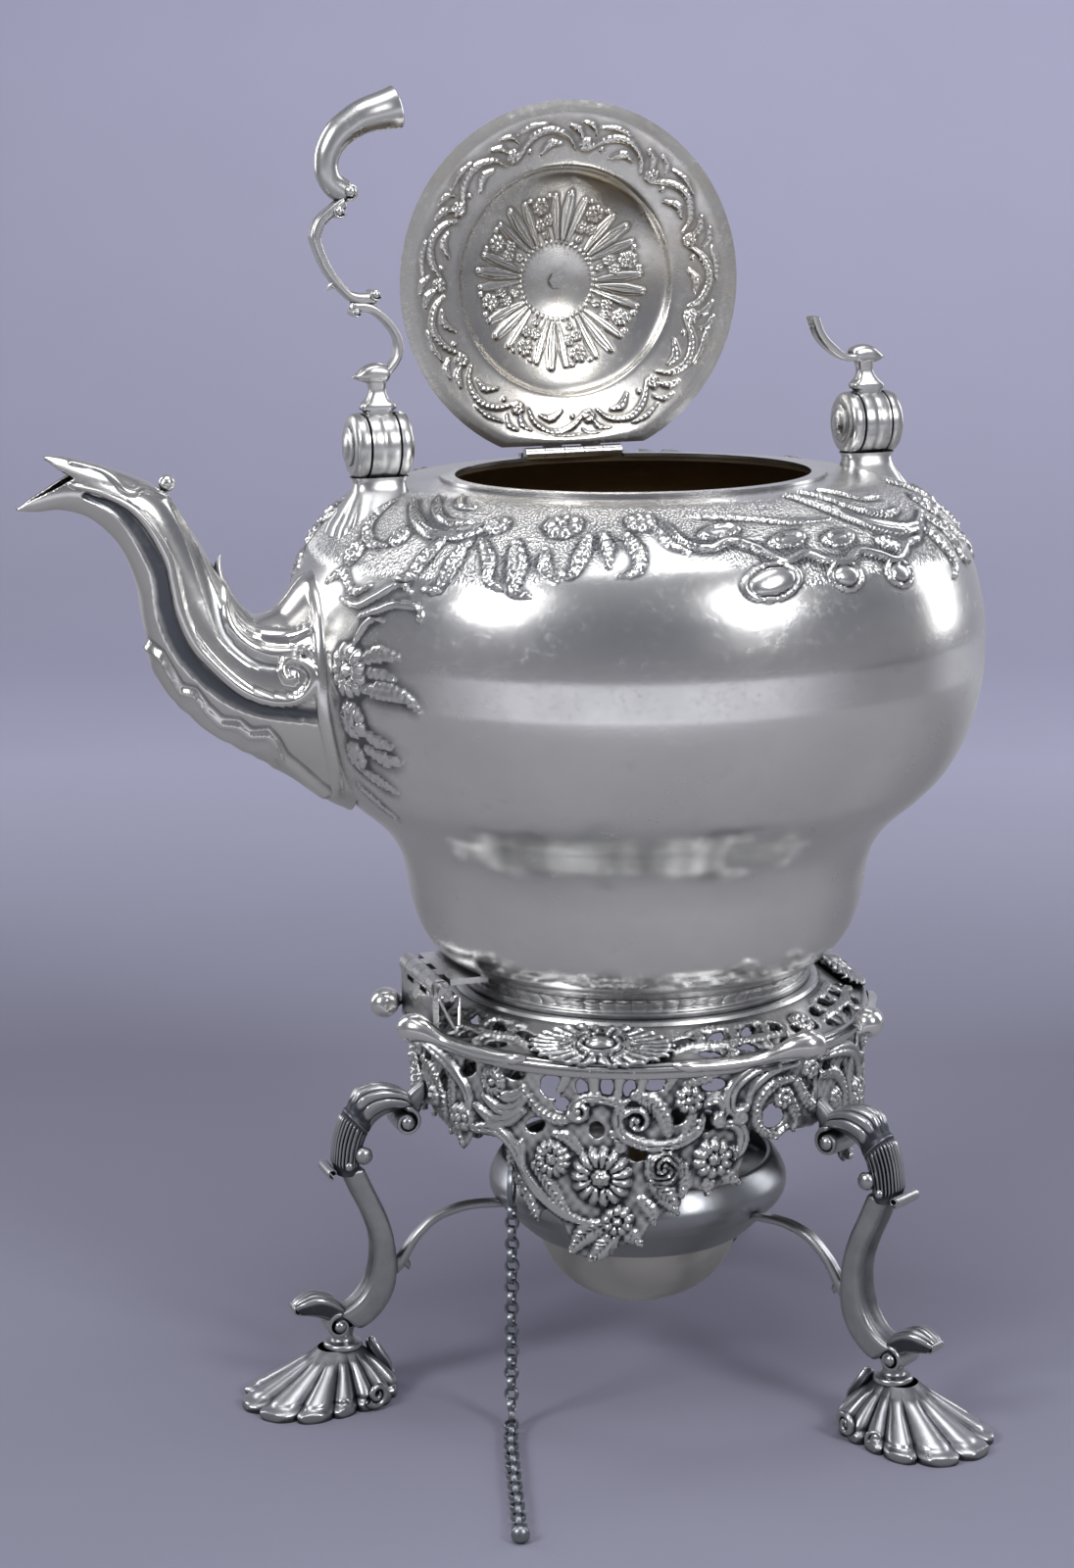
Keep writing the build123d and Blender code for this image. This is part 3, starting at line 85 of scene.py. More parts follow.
class Graph:
    """Small helper that adds and joins the shader nodes of a material or of a world."""

    def __init__(self, name, kind=bpy.data.materials):
        self.owner = kind.new(name)
        self.owner.use_nodes = True
        self.tree = self.owner.node_tree
        self.shader = self.tree.nodes.get("Principled BSDF")

    def add(self, kind, settings=None, **sockets):
        node = self.tree.nodes.new("ShaderNode" + kind)
        for key, value in (settings or {}).items():
            setattr(node, key, value)
        for key, value in sockets.items():
            self.put(node.inputs[key.replace("_", " ")], value)
        return node

    def put(self, socket, value):
        if isinstance(value, bpy.types.NodeSocket):
            self.tree.links.new(value, socket)
        else:
            socket.default_value = value

    def place(self, scale=(1, 1, 1)):
        where = self.add("TexCoord")
        return self.add("Mapping", Vector=where.outputs["Object"], Scale=scale).outputs[0]

    def noise(self, scale, detail=3.0, rough=0.5, stretch=(1, 1, 1)):
        return self.add(
            "TexNoise", Vector=self.place(stretch), Scale=scale, Detail=detail, Roughness=rough
        ).outputs["Fac"]

    def spread(self, value, low, high, to_low=0.0, to_high=1.0):
        node = self.add("MapRange", Value=value)
        for key, number in (("From Min", low), ("From Max", high), ("To Min", to_low), ("To Max", to_high)):
            node.inputs[key].default_value = number
        return node.outputs[0]

    def ramp(self, value, stops):
        """Colours of a row of (place, colour)."""
        node = self.add("ValToRGB", Fac=value)
        marks = node.color_ramp.elements
        marks[0].position, marks[0].color = stops[0]
        marks[1].position, marks[1].color = stops[-1]
        for place, tone in stops[1:-1]:
            marks.new(place).color = tone
        return node.outputs["Color"]

    def math(self, operation, a, b=0.0):
        node = self.add("Math", {"operation": operation})
        self.put(node.inputs[0], a)
        self.put(node.inputs[1], b)
        return node.outputs[0]

    def tint(self, factor, a, b):
        node = self.add("Mix", {"data_type": "RGBA"})
        self.put(node.inputs[0], factor)
        self.put(node.inputs[6], a)
        self.put(node.inputs[7], b)
        return node.outputs[2]

    def bump(self, height, strength, distance, normal=None):
        node = self.add("Bump", Strength=strength, Distance=distance, Height=height)
        if normal is not None:
            self.put(node.inputs["Normal"], normal)
        return node.outputs[0]


def silver(name, bright, dark, rough, reach, depth, relief=False, warm=None, grain=900):
    """Silver with wear: soft blotches, hair scratches, and patina that stays in the recesses."""
    g = Graph(name)
    s = g.shader
    s.inputs["Metallic"].default_value = 1.0
    blotch = g.noise(38, 4, 0.6)
    fine = g.noise(grain, 3, 0.6)
    hair = g.noise(420, 2, 0.7, (1, 0.06, 1))
    hair_b = g.noise(420, 2, 0.7, (0.08, 1, 0.5))
    scratches = g.math("MULTIPLY", g.spread(hair, 0.5, 0.75), g.spread(hair_b, 0.35, 0.7))
    tone = g.tint(g.spread(blotch, 0.3, 0.7), bright, [c * 0.88 for c in bright[:3]] + [1])
    if warm is not None:
        tone = g.tint(g.spread(g.noise(26, 5, 0.65), 0.50, 0.76, 0.0, 0.85), tone, warm)
    cavity = g.add("AmbientOcclusion", {"samples": 6}, Distance=reach)
    open_share = g.spread(cavity.outputs["AO"], 0.35, 0.92)
    if relief:
        height = g.add("Attribute", {"attribute_name": "relief"}).outputs["Fac"]
        open_share = g.math("MULTIPLY", open_share, g.spread(height, 0.0, 0.62))
    patchy = g.spread(g.noise(150, 4, 0.6), 0.2, 0.8, -0.16, 0.16)
    open_share = g.math("ADD", open_share, patchy)
    worn = g.spread(open_share, 0.02, 0.75)
    kept = g.math("MULTIPLY", g.math("SUBTRACT", 1.0, worn), depth)
    g.put(s.inputs["Base Color"], g.tint(kept, tone, dark))
    roughness = g.spread(blotch, 0.2, 0.8, rough[0], rough[1])
    roughness = g.math("ADD", roughness, g.math("MULTIPLY", scratches, 0.10))
    roughness = g.math("ADD", roughness, g.math("MULTIPLY", kept, 0.22))
    g.put(s.inputs["Roughness"], roughness)
    normal = g.bump(scratches, 0.05, 0.0003)
    normal = g.bump(fine, 0.06, 0.0002, normal)
    if relief:
        stipple = g.add("TexVoronoi", Vector=g.place(), Scale=1300.0).outputs["Distance"]
        ground = g.add("Attribute", {"attribute_name": "ground"}).outputs["Fac"]
        normal = g.bump(g.math("MULTIPLY", stipple, ground), 0.8, 0.0006, normal)
    g.put(s.inputs["Normal"], normal)
    return g.owner


DARK_BLUE = (0.030, 0.034, 0.048, 1)
POLISHED = silver("polished", (0.82, 0.815, 0.81, 1), (0.07, 0.075, 0.095, 1), (0.15, 0.27), 0.003, 0.8)
CHASED = silver("chased", (0.82, 0.815, 0.81, 1), (0.05, 0.055, 0.07, 1), (0.15, 0.27), 0.002, 0.85, True)
CAST = silver("cast", (0.66, 0.66, 0.66, 1), DARK_BLUE, (0.22, 0.34), 0.004, 0.95, grain=1500)
CARVED = silver("carved", (0.68, 0.68, 0.68, 1), DARK_BLUE, (0.22, 0.34), 0.003, 0.96, True, grain=1500)
DARK = silver("gunmetal", (0.36, 0.37, 0.40, 1), DARK_BLUE, (0.24, 0.38), 0.004, 0.9, grain=1500)
LEG = silver("gunmetal_carved", (0.50, 0.505, 0.53, 1), DARK_BLUE, (0.24, 0.38), 0.004, 0.9, True, grain=1500)
SATIN = silver("satin", (0.66, 0.64, 0.61, 1), (0.10, 0.11, 0.12, 1), (0.26, 0.36), 0.004, 0.6)
CHAIN = silver("chain_metal", (0.27, 0.285, 0.32, 1), (0.03, 0.035, 0.045, 1), (0.3, 0.42), 0.0015, 0.85)
BRASS = silver("brass", (0.62, 0.50, 0.28, 1), (0.08, 0.06, 0.04, 1), (0.25, 0.4), 0.003, 0.7)
GILT = silver("gilt_tarnish", (0.42, 0.34, 0.24, 1), (0.12, 0.09, 0.06, 1), (0.3, 0.42), 0.01, 0.6,
              warm=(0.30, 0.20, 0.11, 1))
LID_UNDER = silver("lid_under", (0.86, 0.85, 0.82, 1), (0.20, 0.18, 0.16, 1), (0.16, 0.26), 0.002, 0.8,
                   True, warm=(0.72, 0.64, 0.51, 1))


def cotton():
    g = Graph("wick_cotton")
    weave = g.add("TexWave", {"wave_type": "BANDS", "bands_direction": "Z"},
                  Vector=g.place(), Scale=420, Distortion=1.5)
    tone = g.tint(weave.outputs["Fac"], (0.55, 0.50, 0.42, 1), (0.80, 0.76, 0.68, 1))
    char = g.spread(g.add("SeparateXYZ", Vector=g.place()).outputs["Z"], 0.061, 0.064)
    g.put(g.shader.inputs["Base Color"], g.tint(char, tone, (0.05, 0.045, 0.04, 1)))
    g.shader.inputs["Roughness"].default_value = 0.9
    g.put(g.shader.inputs["Normal"], g.bump(weave.outputs["Fac"], 0.5, 0.0004))
    return g.owner


FINISHES = {
    "polished_silver": POLISHED, "cast_silver": CAST, "dark_silver": DARK,
    "satin_silver": SATIN, "chain_silver": CHAIN, "burner_brass": BRASS, "wick_cotton": cotton(),
}
SLOT_OF = {entry["node"]: entry["material_slot"] for entry in frame["record"]["subparts"]}


def piece(name, points, faces, material, body, nodes=(), finish=None, sharp=38, **values):
    """A mesh from points in mm; faces are rows of point numbers, all of one length."""
    points = np.asarray(points, float).reshape(-1, 3) * MM
    faces = np.asarray(faces, int)
    mesh = bpy.data.meshes.new(name)
    mesh.vertices.add(len(points))
    mesh.vertices.foreach_set("co", points.ravel())
    mesh.loops.add(faces.size)
    mesh.loops.foreach_set("vertex_index", faces.ravel())
    mesh.polygons.add(len(faces))
    mesh.polygons.foreach_set("loop_start", np.arange(0, faces.size, faces.shape[1]))
    mesh.polygons.foreach_set("use_smooth", np.ones(len(faces), bool))
    mesh.update(calc_edges=True)
    for key, numbers in values.items():
        spot = mesh.attributes.new(key, "FLOAT", "POINT")
        spot.data.foreach_set("value", np.asarray(numbers, np.float32).ravel())
    mesh.set_sharp_from_angle(angle=radians(sharp))
    mesh.materials.append(material)
    thing = bpy.data.objects.new(name, mesh)
    bpy.context.scene.collection.objects.link(thing)
    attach(thing, body)
    if nodes:
        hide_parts(*nodes)
        finish = finish or SLOT_OF[nodes[0]]
    return thing


def grid_faces(rows, columns, round_rows=False, round_columns=False):
    i = np.arange(rows if round_rows else rows - 1)[:, None]
    j = np.arange(columns if round_columns else columns - 1)[None, :]
    below, beside = (i + 1) % rows, (j + 1) % columns
    corners = (i * columns + j, i * columns + beside, below * columns + beside, below * columns + j)
    return np.stack([corner + 0 * (i + j) for corner in corners], -1).reshape(-1, 4)


def grid_normals(points, round_rows=False, round_columns=False):
    def slope(axis, closed):
        if closed:
            return np.roll(points, -1, axis) - np.roll(points, 1, axis)
        return np.gradient(points, axis=axis)

    normals = np.cross(slope(1, round_columns), slope(0, round_rows))
    return normals / (np.linalg.norm(normals, axis=-1, keepdims=True) + 1e-12)


def run_length(line):
    """Distance along a line, from its start, at each of its points."""
    return np.concatenate([[0], np.cumsum(np.linalg.norm(np.diff(line, axis=0), axis=1))])


def eased(points, count):
    """Smooth line of evenly spaced points through the given ones."""
    points = np.asarray(points, float)
    ends = np.vstack([2 * points[0] - points[1], points, 2 * points[-1] - points[-2]])
    t = np.linspace(0, 1, 12, endpoint=False)[:, None]
    dense = [
        0.5 * (2 * b + (c - a) * t + (2 * a - 5 * b + 4 * c - d) * t ** 2 + (3 * b - a - 3 * c + d) * t ** 3)
        for a, b, c, d in zip(ends, ends[1:], ends[2:], ends[3:])
    ]
    dense = np.vstack([*dense, points[-1:]])
    far = run_length(dense)
    spots = np.linspace(0, far[-1], count)
    return np.stack([np.interp(spots, far, dense[:, k]) for k in range(points.shape[1])], -1)


# Ornament: each shape gives a height in mm at local places x and y, in mm
def stroke(x, y, line, width, height, groove=0.0, veins=0.0, notch=0.0, pitch=2.2):
    """A rounded ridge along a line, tapered, with a groove, side veins or a notched edge."""
    line = eased(line, 9 * (len(line) - 1) + 1)
    best = np.full(x.shape, 1e9)
    place = np.zeros(x.shape)
    walked = 0.0
    for a, b in zip(line, line[1:]):
        run = b - a
        length = np.hypot(*run) + 1e-9
        t = np.clip(((x - a[0]) * run[0] + (y - a[1]) * run[1]) / length ** 2, 0, 1)
        away = np.hypot(x - a[0] - t * run[0], y - a[1] - t * run[1])
        nearer = away < best
        best = np.where(nearer, away, best)
        place = np.where(nearer, walked + t * length, place)
        walked += length
    wide = np.interp(place / walked, np.linspace(0, 1, len(width)), width)
    wide = wide * (1 - notch * np.abs(np.sin(pi * place / pitch)))
    t = best / np.maximum(wide, 0.05)
    raised = height * np.sqrt(np.clip(1 - t * t, 0, 1))
    raised *= 1 - groove * np.exp(-(t / 0.24) ** 2)
    return raised * (1 - veins * (0.5 + 0.5 * np.cos(2 * pi * (place - 0.9 * best) / pitch)))


def flower(x, y, radius, petals, height, eye=0.3, turn=0.0):
    """Cupped petals round a seeded eye."""
    out, about = np.hypot(x, y), np.arctan2(y, x) + turn
    lobe = np.abs(np.cos(petals * about / 2))
    t = out / (radius * (0.80 + 0.20 * np.sqrt(lobe)))
    cup = (0.35 + 0.65 * lobe ** 0.5) * (0.55 + 0.45 * np.sin(pi * np.clip(t, 0, 1) ** 1.6))
    raised = np.where(t < 1, height * cup * np.sqrt(np.clip(1 - t ** 8, 0, 1)), 0)
    seeds = 1 + 0.22 * np.cos(out * 5.2 / (eye * radius) * 1.6) * np.cos(about * 7)
    middle = height * 1.15 * seeds * np.sqrt(np.clip(1 - (out / (eye * radius)) ** 2, 0, 1))
    return np.where(out < eye * radius, np.maximum(middle, 0.25 * height), raised)


def rose(x, y, radius, height):
    """Wrapped petals, turning inward."""
    out, about = np.hypot(x, y), np.arctan2(y, x)
    edge = radius * (0.9 + 0.1 * np.abs(np.cos(2.5 * about)))
    t = out / edge
    wraps = 0.5 + 0.5 * np.cos(2 * pi * 3.1 * t + 2.0 * about + 0.8 * np.sin(3 * about))
    raised = (0.35 + 0.65 * wraps) * np.sqrt(np.clip(1 - t ** 4, 0, 1)) + 0.2
    return np.where(t < 1, height * raised, 0)


def dome(x, y, wide, tall, height, power=2.0):
    t = np.hypot(x / wide, y / tall)
    return height * np.clip(1 - t ** power, 0, 1) ** 0.5


def ring(x, y, wide, tall, width, height):
    """A raised rim round an oval hollow."""
    out = np.hypot(x / wide, y / tall)
    away = np.abs(out - 1) * min(wide, tall) / width
    return height * np.sqrt(np.clip(1 - away ** 2, 0, 1))


def curl(middle, radius, turns, start, hand=1, end=0.12):
    """Points of a spiral that runs inward."""
    t = np.linspace(0, 1, int(10 * turns) + 3)
    reach = radius * (1 - (1 - end) * t)
    about = radians(start) + hand * 2 * pi * turns * t
    return np.c_[middle[0] + reach * np.cos(about), middle[1] + reach * np.sin(about)]


class Relief:
    """Heights over a grid; across and along place it, scale is mm per step across."""

    def __init__(self, across, along, scale=1.0, around=None):
        self.across, self.along = np.broadcast_arrays(across, along)
        self.scale = np.broadcast_to(scale, self.across.shape)
        self.around = around
        self.height = np.zeros(self.across.shape)
        self.ground = np.zeros(self.across.shape)

    def near(self, at, turn, side, reach):
        gap = self.across - at[0]
        if self.around:
            gap = (gap + self.around / 2) % self.around - self.around / 2
        x, y = gap * self.scale * side, self.along - at[1]
        chosen = (np.abs(x) < reach) & (np.abs(y) < reach)
        c, s = cos(radians(turn)), sin(radians(turn))
        x, y = x[chosen], y[chosen]
        return chosen, x * c + y * s, y * c - x * s

    def add(self, shape, at, turn=0, side=1, reach=16, mode="max", **how):
        chosen, x, y = self.near(at, turn, side, reach)
        if not x.size:
            return
        new, old = shape(x, y, **how), self.height[chosen]
        self.height[chosen] = {
            "max": np.maximum(old, new), "add": old + new, "over": np.where(new > 0, new, old)
        }[mode]

    def trace(self, line, width, height, side=1, middle=None, **how):
        """A stroke through places of the grid itself, mirrored about its middle if asked."""
        line = np.asarray(line, float)
        at = line.mean(axis=0)
        rows = self.along[:, 0]
        scales = np.interp(line[:, 1], *sort_rows(rows, self.scale[:, 0]))
        local = np.c_[(line[:, 0] - at[0]) * scales, line[:, 1] - at[1]]
        spot = (at[0], at[1]) if side > 0 else (2 * middle - at[0], at[1])
        reach = np.abs(local).max() + max(width) + 2
        self.add(stroke, spot, side=side, reach=reach, line=local, width=width, height=height, **how)

    def worn(self, depth, steps=(1, 2, 3)):
        """1 where the metal stands proud of what is near it, 0 in the recesses."""
        level = self.height
        for n in steps:
            level = (level + np.roll(level, n, 0) + np.roll(level, -n, 0)
                     + np.roll(level, n, 1) + np.roll(level, -n, 1)) / 5
        return np.clip(0.5 + (self.height - level) / depth, 0, 1)


def sort_rows(rows, scales):
    order = np.argsort(rows)
    return rows[order], scales[order]


def relief_piece(name, base, relief, material, body, nodes=(), round_rows=False, round_columns=False,
                 depth=0.5, faces=None, out=1, **more):
    points = base + out * grid_normals(base, round_rows, round_columns) * relief.height[..., None]
    if faces is None:
        faces = grid_faces(*base.shape[:2], round_rows, round_columns)
    return piece(name, points, faces, material, body, nodes,
                 relief=relief.worn(depth), ground=relief.ground, **more)


def turn_about_z(points, angle):
    c, s = cos(radians(angle)), sin(radians(angle))
    points = np.asarray(points, float)
    out = points.copy()
    out[..., 0] = points[..., 0] * c - points[..., 1] * s
    out[..., 1] = points[..., 0] * s + points[..., 1] * c
    return out


def polar(r, a, z):
    return np.stack([r * np.cos(a), r * np.sin(a), z], -1)


def spun(profile, angles):
    """Grid of points of a profile (radius, height) at each angle in degrees, outward facing."""
    profile = np.asarray(profile, float)
    a = np.radians(angles)[None, :]
    r, z = profile[:, 0][:, None], profile[:, 1][:, None]
    return polar(r, a, z + 0 * a)


def lathe(name, profile, material, body, nodes=(), segments=128, closed=False, **more):
    """A turned piece; the profile runs so that the outside is on its left hand going down."""
    base = spun(profile, np.arange(segments) * 360 / segments)
    faces = grid_faces(len(profile), segments, closed, True)
    return piece(name, base, faces[:, ::-1], material, body, nodes, **more)


class Parts:
    """Several grids joined as one mesh, each with how proud its metal stands."""

    def __init__(self):
        self.points, self.faces, self.relief, self.start = [], [], [], 0

    def add(self, grid, relief=0.8):
        rows, columns = grid.shape[:2]
        self.points.append(grid.reshape(-1, 3))
        self.faces.append(grid_faces(rows, columns, False, True) + self.start)
        self.relief.append(np.broadcast_to(relief, (rows, columns)).ravel())
        self.start += rows * columns

    def sweep(self, pairs, widths, shift=0.0, share=1.0, **how):
        grid, proud = swept(pairs, widths, **how)
        self.add(grid - np.array([shift, 0, 0]), proud * share)

    def roll(self, *how):
        self.add(*volute(*how))

    def bosses(self, r, side_at, z, radius, flat=1.0):
        """A ball on each side."""
        for side in (1, -1):
            self.add(ball((r, side * side_at, z), radius, flat), 1.0)

    def build(self, name, turn, material, body, nodes=(), sharp=50):
        relief = np.concatenate(self.relief)
        points = turn_about_z(np.vstack(self.points), turn)
        return piece(name, points, np.vstack(self.faces), material, body, nodes, sharp=sharp,
                     relief=relief, ground=0 * relief)


def tube_points(points, radii, sides, count):
    """Grid of a round bar through points with a radius at each."""
    data = eased(np.c_[np.asarray(points, float), radii], count)
    line, radius = data[:, :3], np.maximum(data[:, 3], 0.03)
    along = np.gradient(line, axis=0)
    along /= np.linalg.norm(along, axis=1, keepdims=True)
    side = np.zeros_like(line)
    guess = np.array([0.0, 0, 1]) if abs(along[0, 2]) < 0.8 else np.array([1.0, 0, 0])
    for k in range(count):
        guess = guess - along[k] * guess.dot(along[k])
        guess /= np.linalg.norm(guess)
        side[k] = guess
    other = np.cross(along, side)
    a = np.linspace(0, 2 * pi, sides, endpoint=False)[None, :, None]
    return line[:, None] + radius[:, None, None] * (np.cos(a) * side[:, None] + np.sin(a) * other[:, None])


def swept(pairs, widths, sides=40, count=70, square=3.0, hollow=0.0, crest=None, open_end=False):
    """Sections between pairs of points (distance out, height), closed at both ends."""
    ends = np.array([[*low, *high] for low, high in pairs], float)
    data = eased(np.c_[ends, np.broadcast_to(widths, len(ends))], count)
    low, high, half = data[:, :2], data[:, 2:4], data[:, 4]
    a = np.linspace(0, 2 * pi, sides, endpoint=False)
    c, s = np.cos(a), np.sin(a)
    c = np.sign(c) * np.abs(c) ** (2 / square)
    s = np.sign(s) * np.abs(s) ** (2 / square)
    u = np.linspace(0, 1, count)[:, None]
    shrink = np.ones(count)
    shrink[:3] = 0.0, 0.62, 0.9
    if not open_end:
        shrink[-3:] = 0.9, 0.62, 0.0
    trough = np.exp(-(s / 0.5) ** 2)[None, :]
    middle, up = (low + high) / 2, (high - low) / 2
    rise = np.linalg.norm(up, axis=1)[:, None] + 1e-9
    crowned = (c > -0.75)[None, :]
    extra = crest(u, s[None, :]) * crowned if crest else 0 * u * s[None, :]
    dip = 1 - hollow * trough * (np.abs(c) > 0.5)
    reach = (c[None, :] * dip + extra / rise) * shrink[:, None]
    rz = middle[:, None, :] + up[:, None, :] * reach[..., None]
    t = (half[:, None] * s[None, :] + 0.8 * extra * s[None, :]) * shrink[:, None]
    proud = np.clip(0.55 + 0.45 * np.abs(s) ** 4, 0, 1)[None, :] * (1 - 1.6 * hollow * trough)
    if crest:
        proud = np.where(crowned, np.clip(0.4 + extra / 0.5, 0, 1), proud)
    return np.stack([rz[..., 0], t, rz[..., 1]], -1), np.clip(proud + 0 * u, 0, 1)


def volute(at, radius, half, turns=1.5, start=90, hand=1):
    """A ribbon rolled up round an axis that lies across the leg."""
    t = np.linspace(0, 1, 70)
    out = radius * (1 - 0.72 * t)
    about = radians(start) + hand * 2 * pi * turns * t
    bare = out - radius * 0.34 * (1 - 0.45 * t)
    outer, inner = (np.c_[at[0] + r * np.cos(about), at[1] + r * np.sin(about)] for r in (out, bare))
    return swept(list(zip(inner, outer)), half, 24, len(t), 5.0)


def ball(at, radius, flat=1.0, rows=14, columns=22):
    """Round boss; its axis lies across the leg."""
    a = np.linspace(0.02, pi - 0.02, rows)[:, None]
    b = np.linspace(0, 2 * pi, columns, endpoint=False)[None, :]
    return np.stack([at[0] + radius * np.sin(a) * np.cos(b), at[1] + flat * radius * np.cos(a) + 0 * b,
                     at[2] + radius * np.sin(a) * np.sin(b)], -1)


def cut_cells(solid):
    """The cells of a grid where solid is above 0, and how far their rim moves up and over to the cut."""
    faces = grid_faces(*solid.shape)
    kept = faces[solid.ravel()[faces].mean(1) > 0]
    seen, whole = (np.bincount(cells.ravel(), minlength=solid.size) for cells in (kept, faces))
    rim = (seen < whole).reshape(solid.shape)
    used = np.unique(kept)
    renumber = np.zeros(solid.size, int)
    renumber[used] = np.arange(len(used))
    up, over = np.gradient(solid)
    steep = up ** 2 + over ** 2 + 1e-6
    moves = (rim * np.clip(-solid * slope / steep, -0.6, 0.6) for slope in (up, over))
    return used, renumber[kept], *moves


def walled(thing, thick):
    wall = thing.modifiers.new("wall", "SOLIDIFY")
    wall.thickness, wall.offset = thick * MM, -1


def cut_sheet(name, place, relief, solid, thick, nodes, depth):
    """A cast sheet of the stand, kept where solid is above 0, with rounded edges."""
    rows, columns = solid.shape
    used, cells, up, over = cut_cells(solid)
    across = np.interp(np.arange(columns)[None, :] + over, np.arange(columns), relief.across[0])
    along = np.interp(np.arange(rows)[:, None] + up, np.arange(rows), relief.along[:, 0])
    soft_edge = np.clip(solid / 0.9, 0, 1)
    lift = relief.height - 0.45 * (1 - np.sqrt(1 - (1 - soft_edge) ** 2))
    points = place(across, along, lift).reshape(-1, 3)
    walled(piece(name, points[used], cells, CARVED, "stand", nodes, sharp=60,
                 relief=relief.worn(depth).ravel()[used], ground=relief.ground.ravel()[used]), thick)


def oval(x, y, wide, tall, tip=0):
    """Distance outside an oval, in mm, below 0 inside."""
    c, s = cos(radians(tip)), sin(radians(tip))
    return (np.hypot((x * c + y * s) / wide, (y * c - x * s) / tall) - 1) * min(wide, tall)


def from_line(x, y, a, b):
    """Distance from the line between two points."""
    dx, dy = b[0] - a[0], b[1] - a[1]
    t = np.clip(((x - a[0]) * dx + (y - a[1]) * dy) / (dx * dx + dy * dy), 0, 1)
    return np.hypot(x - a[0] - t * dx, y - a[1] - t * dy)


# Chain: the cord comes first. Its line is the route's own spline, and the links follow it
CHAIN_ROUTE = (
    (-0.04755, -0.03518, 0.0594), (-0.04823, -0.03488, 0.0226), (-0.04845, -0.03478, 0.0021),
    (-0.0554, -0.0542, 0.0021), (-0.0676, -0.0974, 0.0021),
)


def spline_points(route):
    data = bpy.data.curves.new("route", "CURVE")
    data.dimensions = "3D"
    data.resolution_u = 48
    spline = data.splines.new("NURBS")
    spline.points.add(len(route) - 1)
    for point, place in zip(spline.points, route):
        point.co = (*place, 1)
    spline.order_u = 3
    spline.use_endpoint_u = True
    holder = bpy.data.objects.new("route", data)
    mesh = bpy.data.meshes.new_from_object(holder)
    points = np.array([vertex.co[:] for vertex in mesh.vertices])
    bpy.data.objects.remove(holder)
    return points


def rings_along(line, pitch, long, wide, band, thick):
    """Links of a belcher chain, each a quarter turn on from the last."""
    far = run_length(line)
    count = int(far[-1] / pitch)
    points, faces = [], []
    about = np.linspace(0, 2 * pi, 24, endpoint=False)
    section = np.linspace(0, 2 * pi, 8, endpoint=False)
    for k in range(count):
        spot = (k + 0.5) * far[-1] / count
        middle, ahead, back = (
            np.array([np.interp(spot + by, far, line[:, n]) for n in range(3)]) for by in (0, 1, -1)
        )
        along = (ahead - back) / np.linalg.norm(ahead - back)
        flat = np.cross(along, (0.74, -0.67, 0.0) if abs(along[2]) > 0.7 else (0, 0, 1.0))
        flat /= np.linalg.norm(flat)
        other = np.cross(along, flat)
        turn = radians(90 * k + 9 * sin(2.3 * k))
        u, w = flat * cos(turn) + other * sin(turn), other * cos(turn) - flat * sin(turn)
        a, b = np.meshgrid(about, section, indexing="ij")
        inward = thick / 2 * np.cos(b)
        place = (middle + np.multiply.outer((long / 2 - thick / 2 + inward) * np.cos(a), along)
                 + np.multiply.outer((wide / 2 - thick / 2 + inward) * np.sin(a), u)
                 + np.multiply.outer(band / 2 * np.sign(np.sin(b)) * np.abs(np.sin(b)) ** 0.6, w))
        faces.append(grid_faces(*a.shape, True, True) + k * a.size)
        points.append(place.reshape(-1, 3))
    return np.vstack(points), np.vstack(faces)


chain_line = spline_points(CHAIN_ROUTE) / MM
link_points, link_faces = rings_along(chain_line, 2.86, 4.25, 3.9, 1.5, 0.75)
chain_links = piece("chain_links", link_points, link_faces, CHAIN, "stand", ("chain",))
BALL_LINE = (
    (-1.9, 0.05), (-1.9, 0.9), (-1.5, 1.5), (-0.8, 2.1), (0, 2.32), (0.9, 2.15), (1.6, 1.45), (2, 0.6),
    (2.05, 0.03),
)


def ball_on(line):
    """Turned ball along the end of the chain."""
    along = (line[-1] - line[-4]) / np.linalg.norm(line[-1] - line[-4])
    side = np.cross(along, (0, 0, 1.0))
    rows = eased(BALL_LINE, 26)
    a = np.linspace(0, 2 * pi, 32, endpoint=False)[None, :]
    points = (line[-1] + along * 2.0 + rows[:, 0][:, None, None] * along
              + (rows[:, 1][:, None] * np.cos(a))[..., None] * side
              + (rows[:, 1][:, None] * np.sin(a))[..., None] * np.array((0, 0, 1.0)))
    return points, grid_faces(*points.shape[:2], False, True)[:, ::-1]


chain_end = piece("chain_ball_turned", *ball_on(chain_line), CHAIN, "stand", ("chain_ball",))


SKY = (
    (0, (0.24, 0.24, 0.25, 1)), (0.47, (0.26, 0.26, 0.275, 1)), (0.64, (0.17, 0.175, 0.205, 1)),
    (0.80, (0.22, 0.225, 0.25, 1)), (1, (0.38, 0.385, 0.41, 1)),
)
# Painted light on the backdrop paper: brightness by distance back and up, darkest in a band on the floor a
# little behind the object, lighter up the sweep
PAPER_PAINTED_LIGHT = (
    (0, 0.42), (0.10, 0.40), (0.17, 0.37), (0.22, 0.34), (0.30, 0.50), (0.42, 0.74), (0.62, 0.72),
    (0.90, 0.98), (1, 1),
)


def set_up_world():
    g = Graph("studio", bpy.data.worlds)
    bpy.context.scene.world = g.owner
    g.tree.nodes.clear()
    height = g.add("SeparateXYZ", Vector=g.add("TexCoord").outputs["Generated"]).outputs["Z"]
    light = g.add("Background", Color=g.ramp(g.spread(height, -1, 1), SKY), Strength=1.0)
    g.add("OutputWorld", Surface=light.outputs[0])


set_up_world()


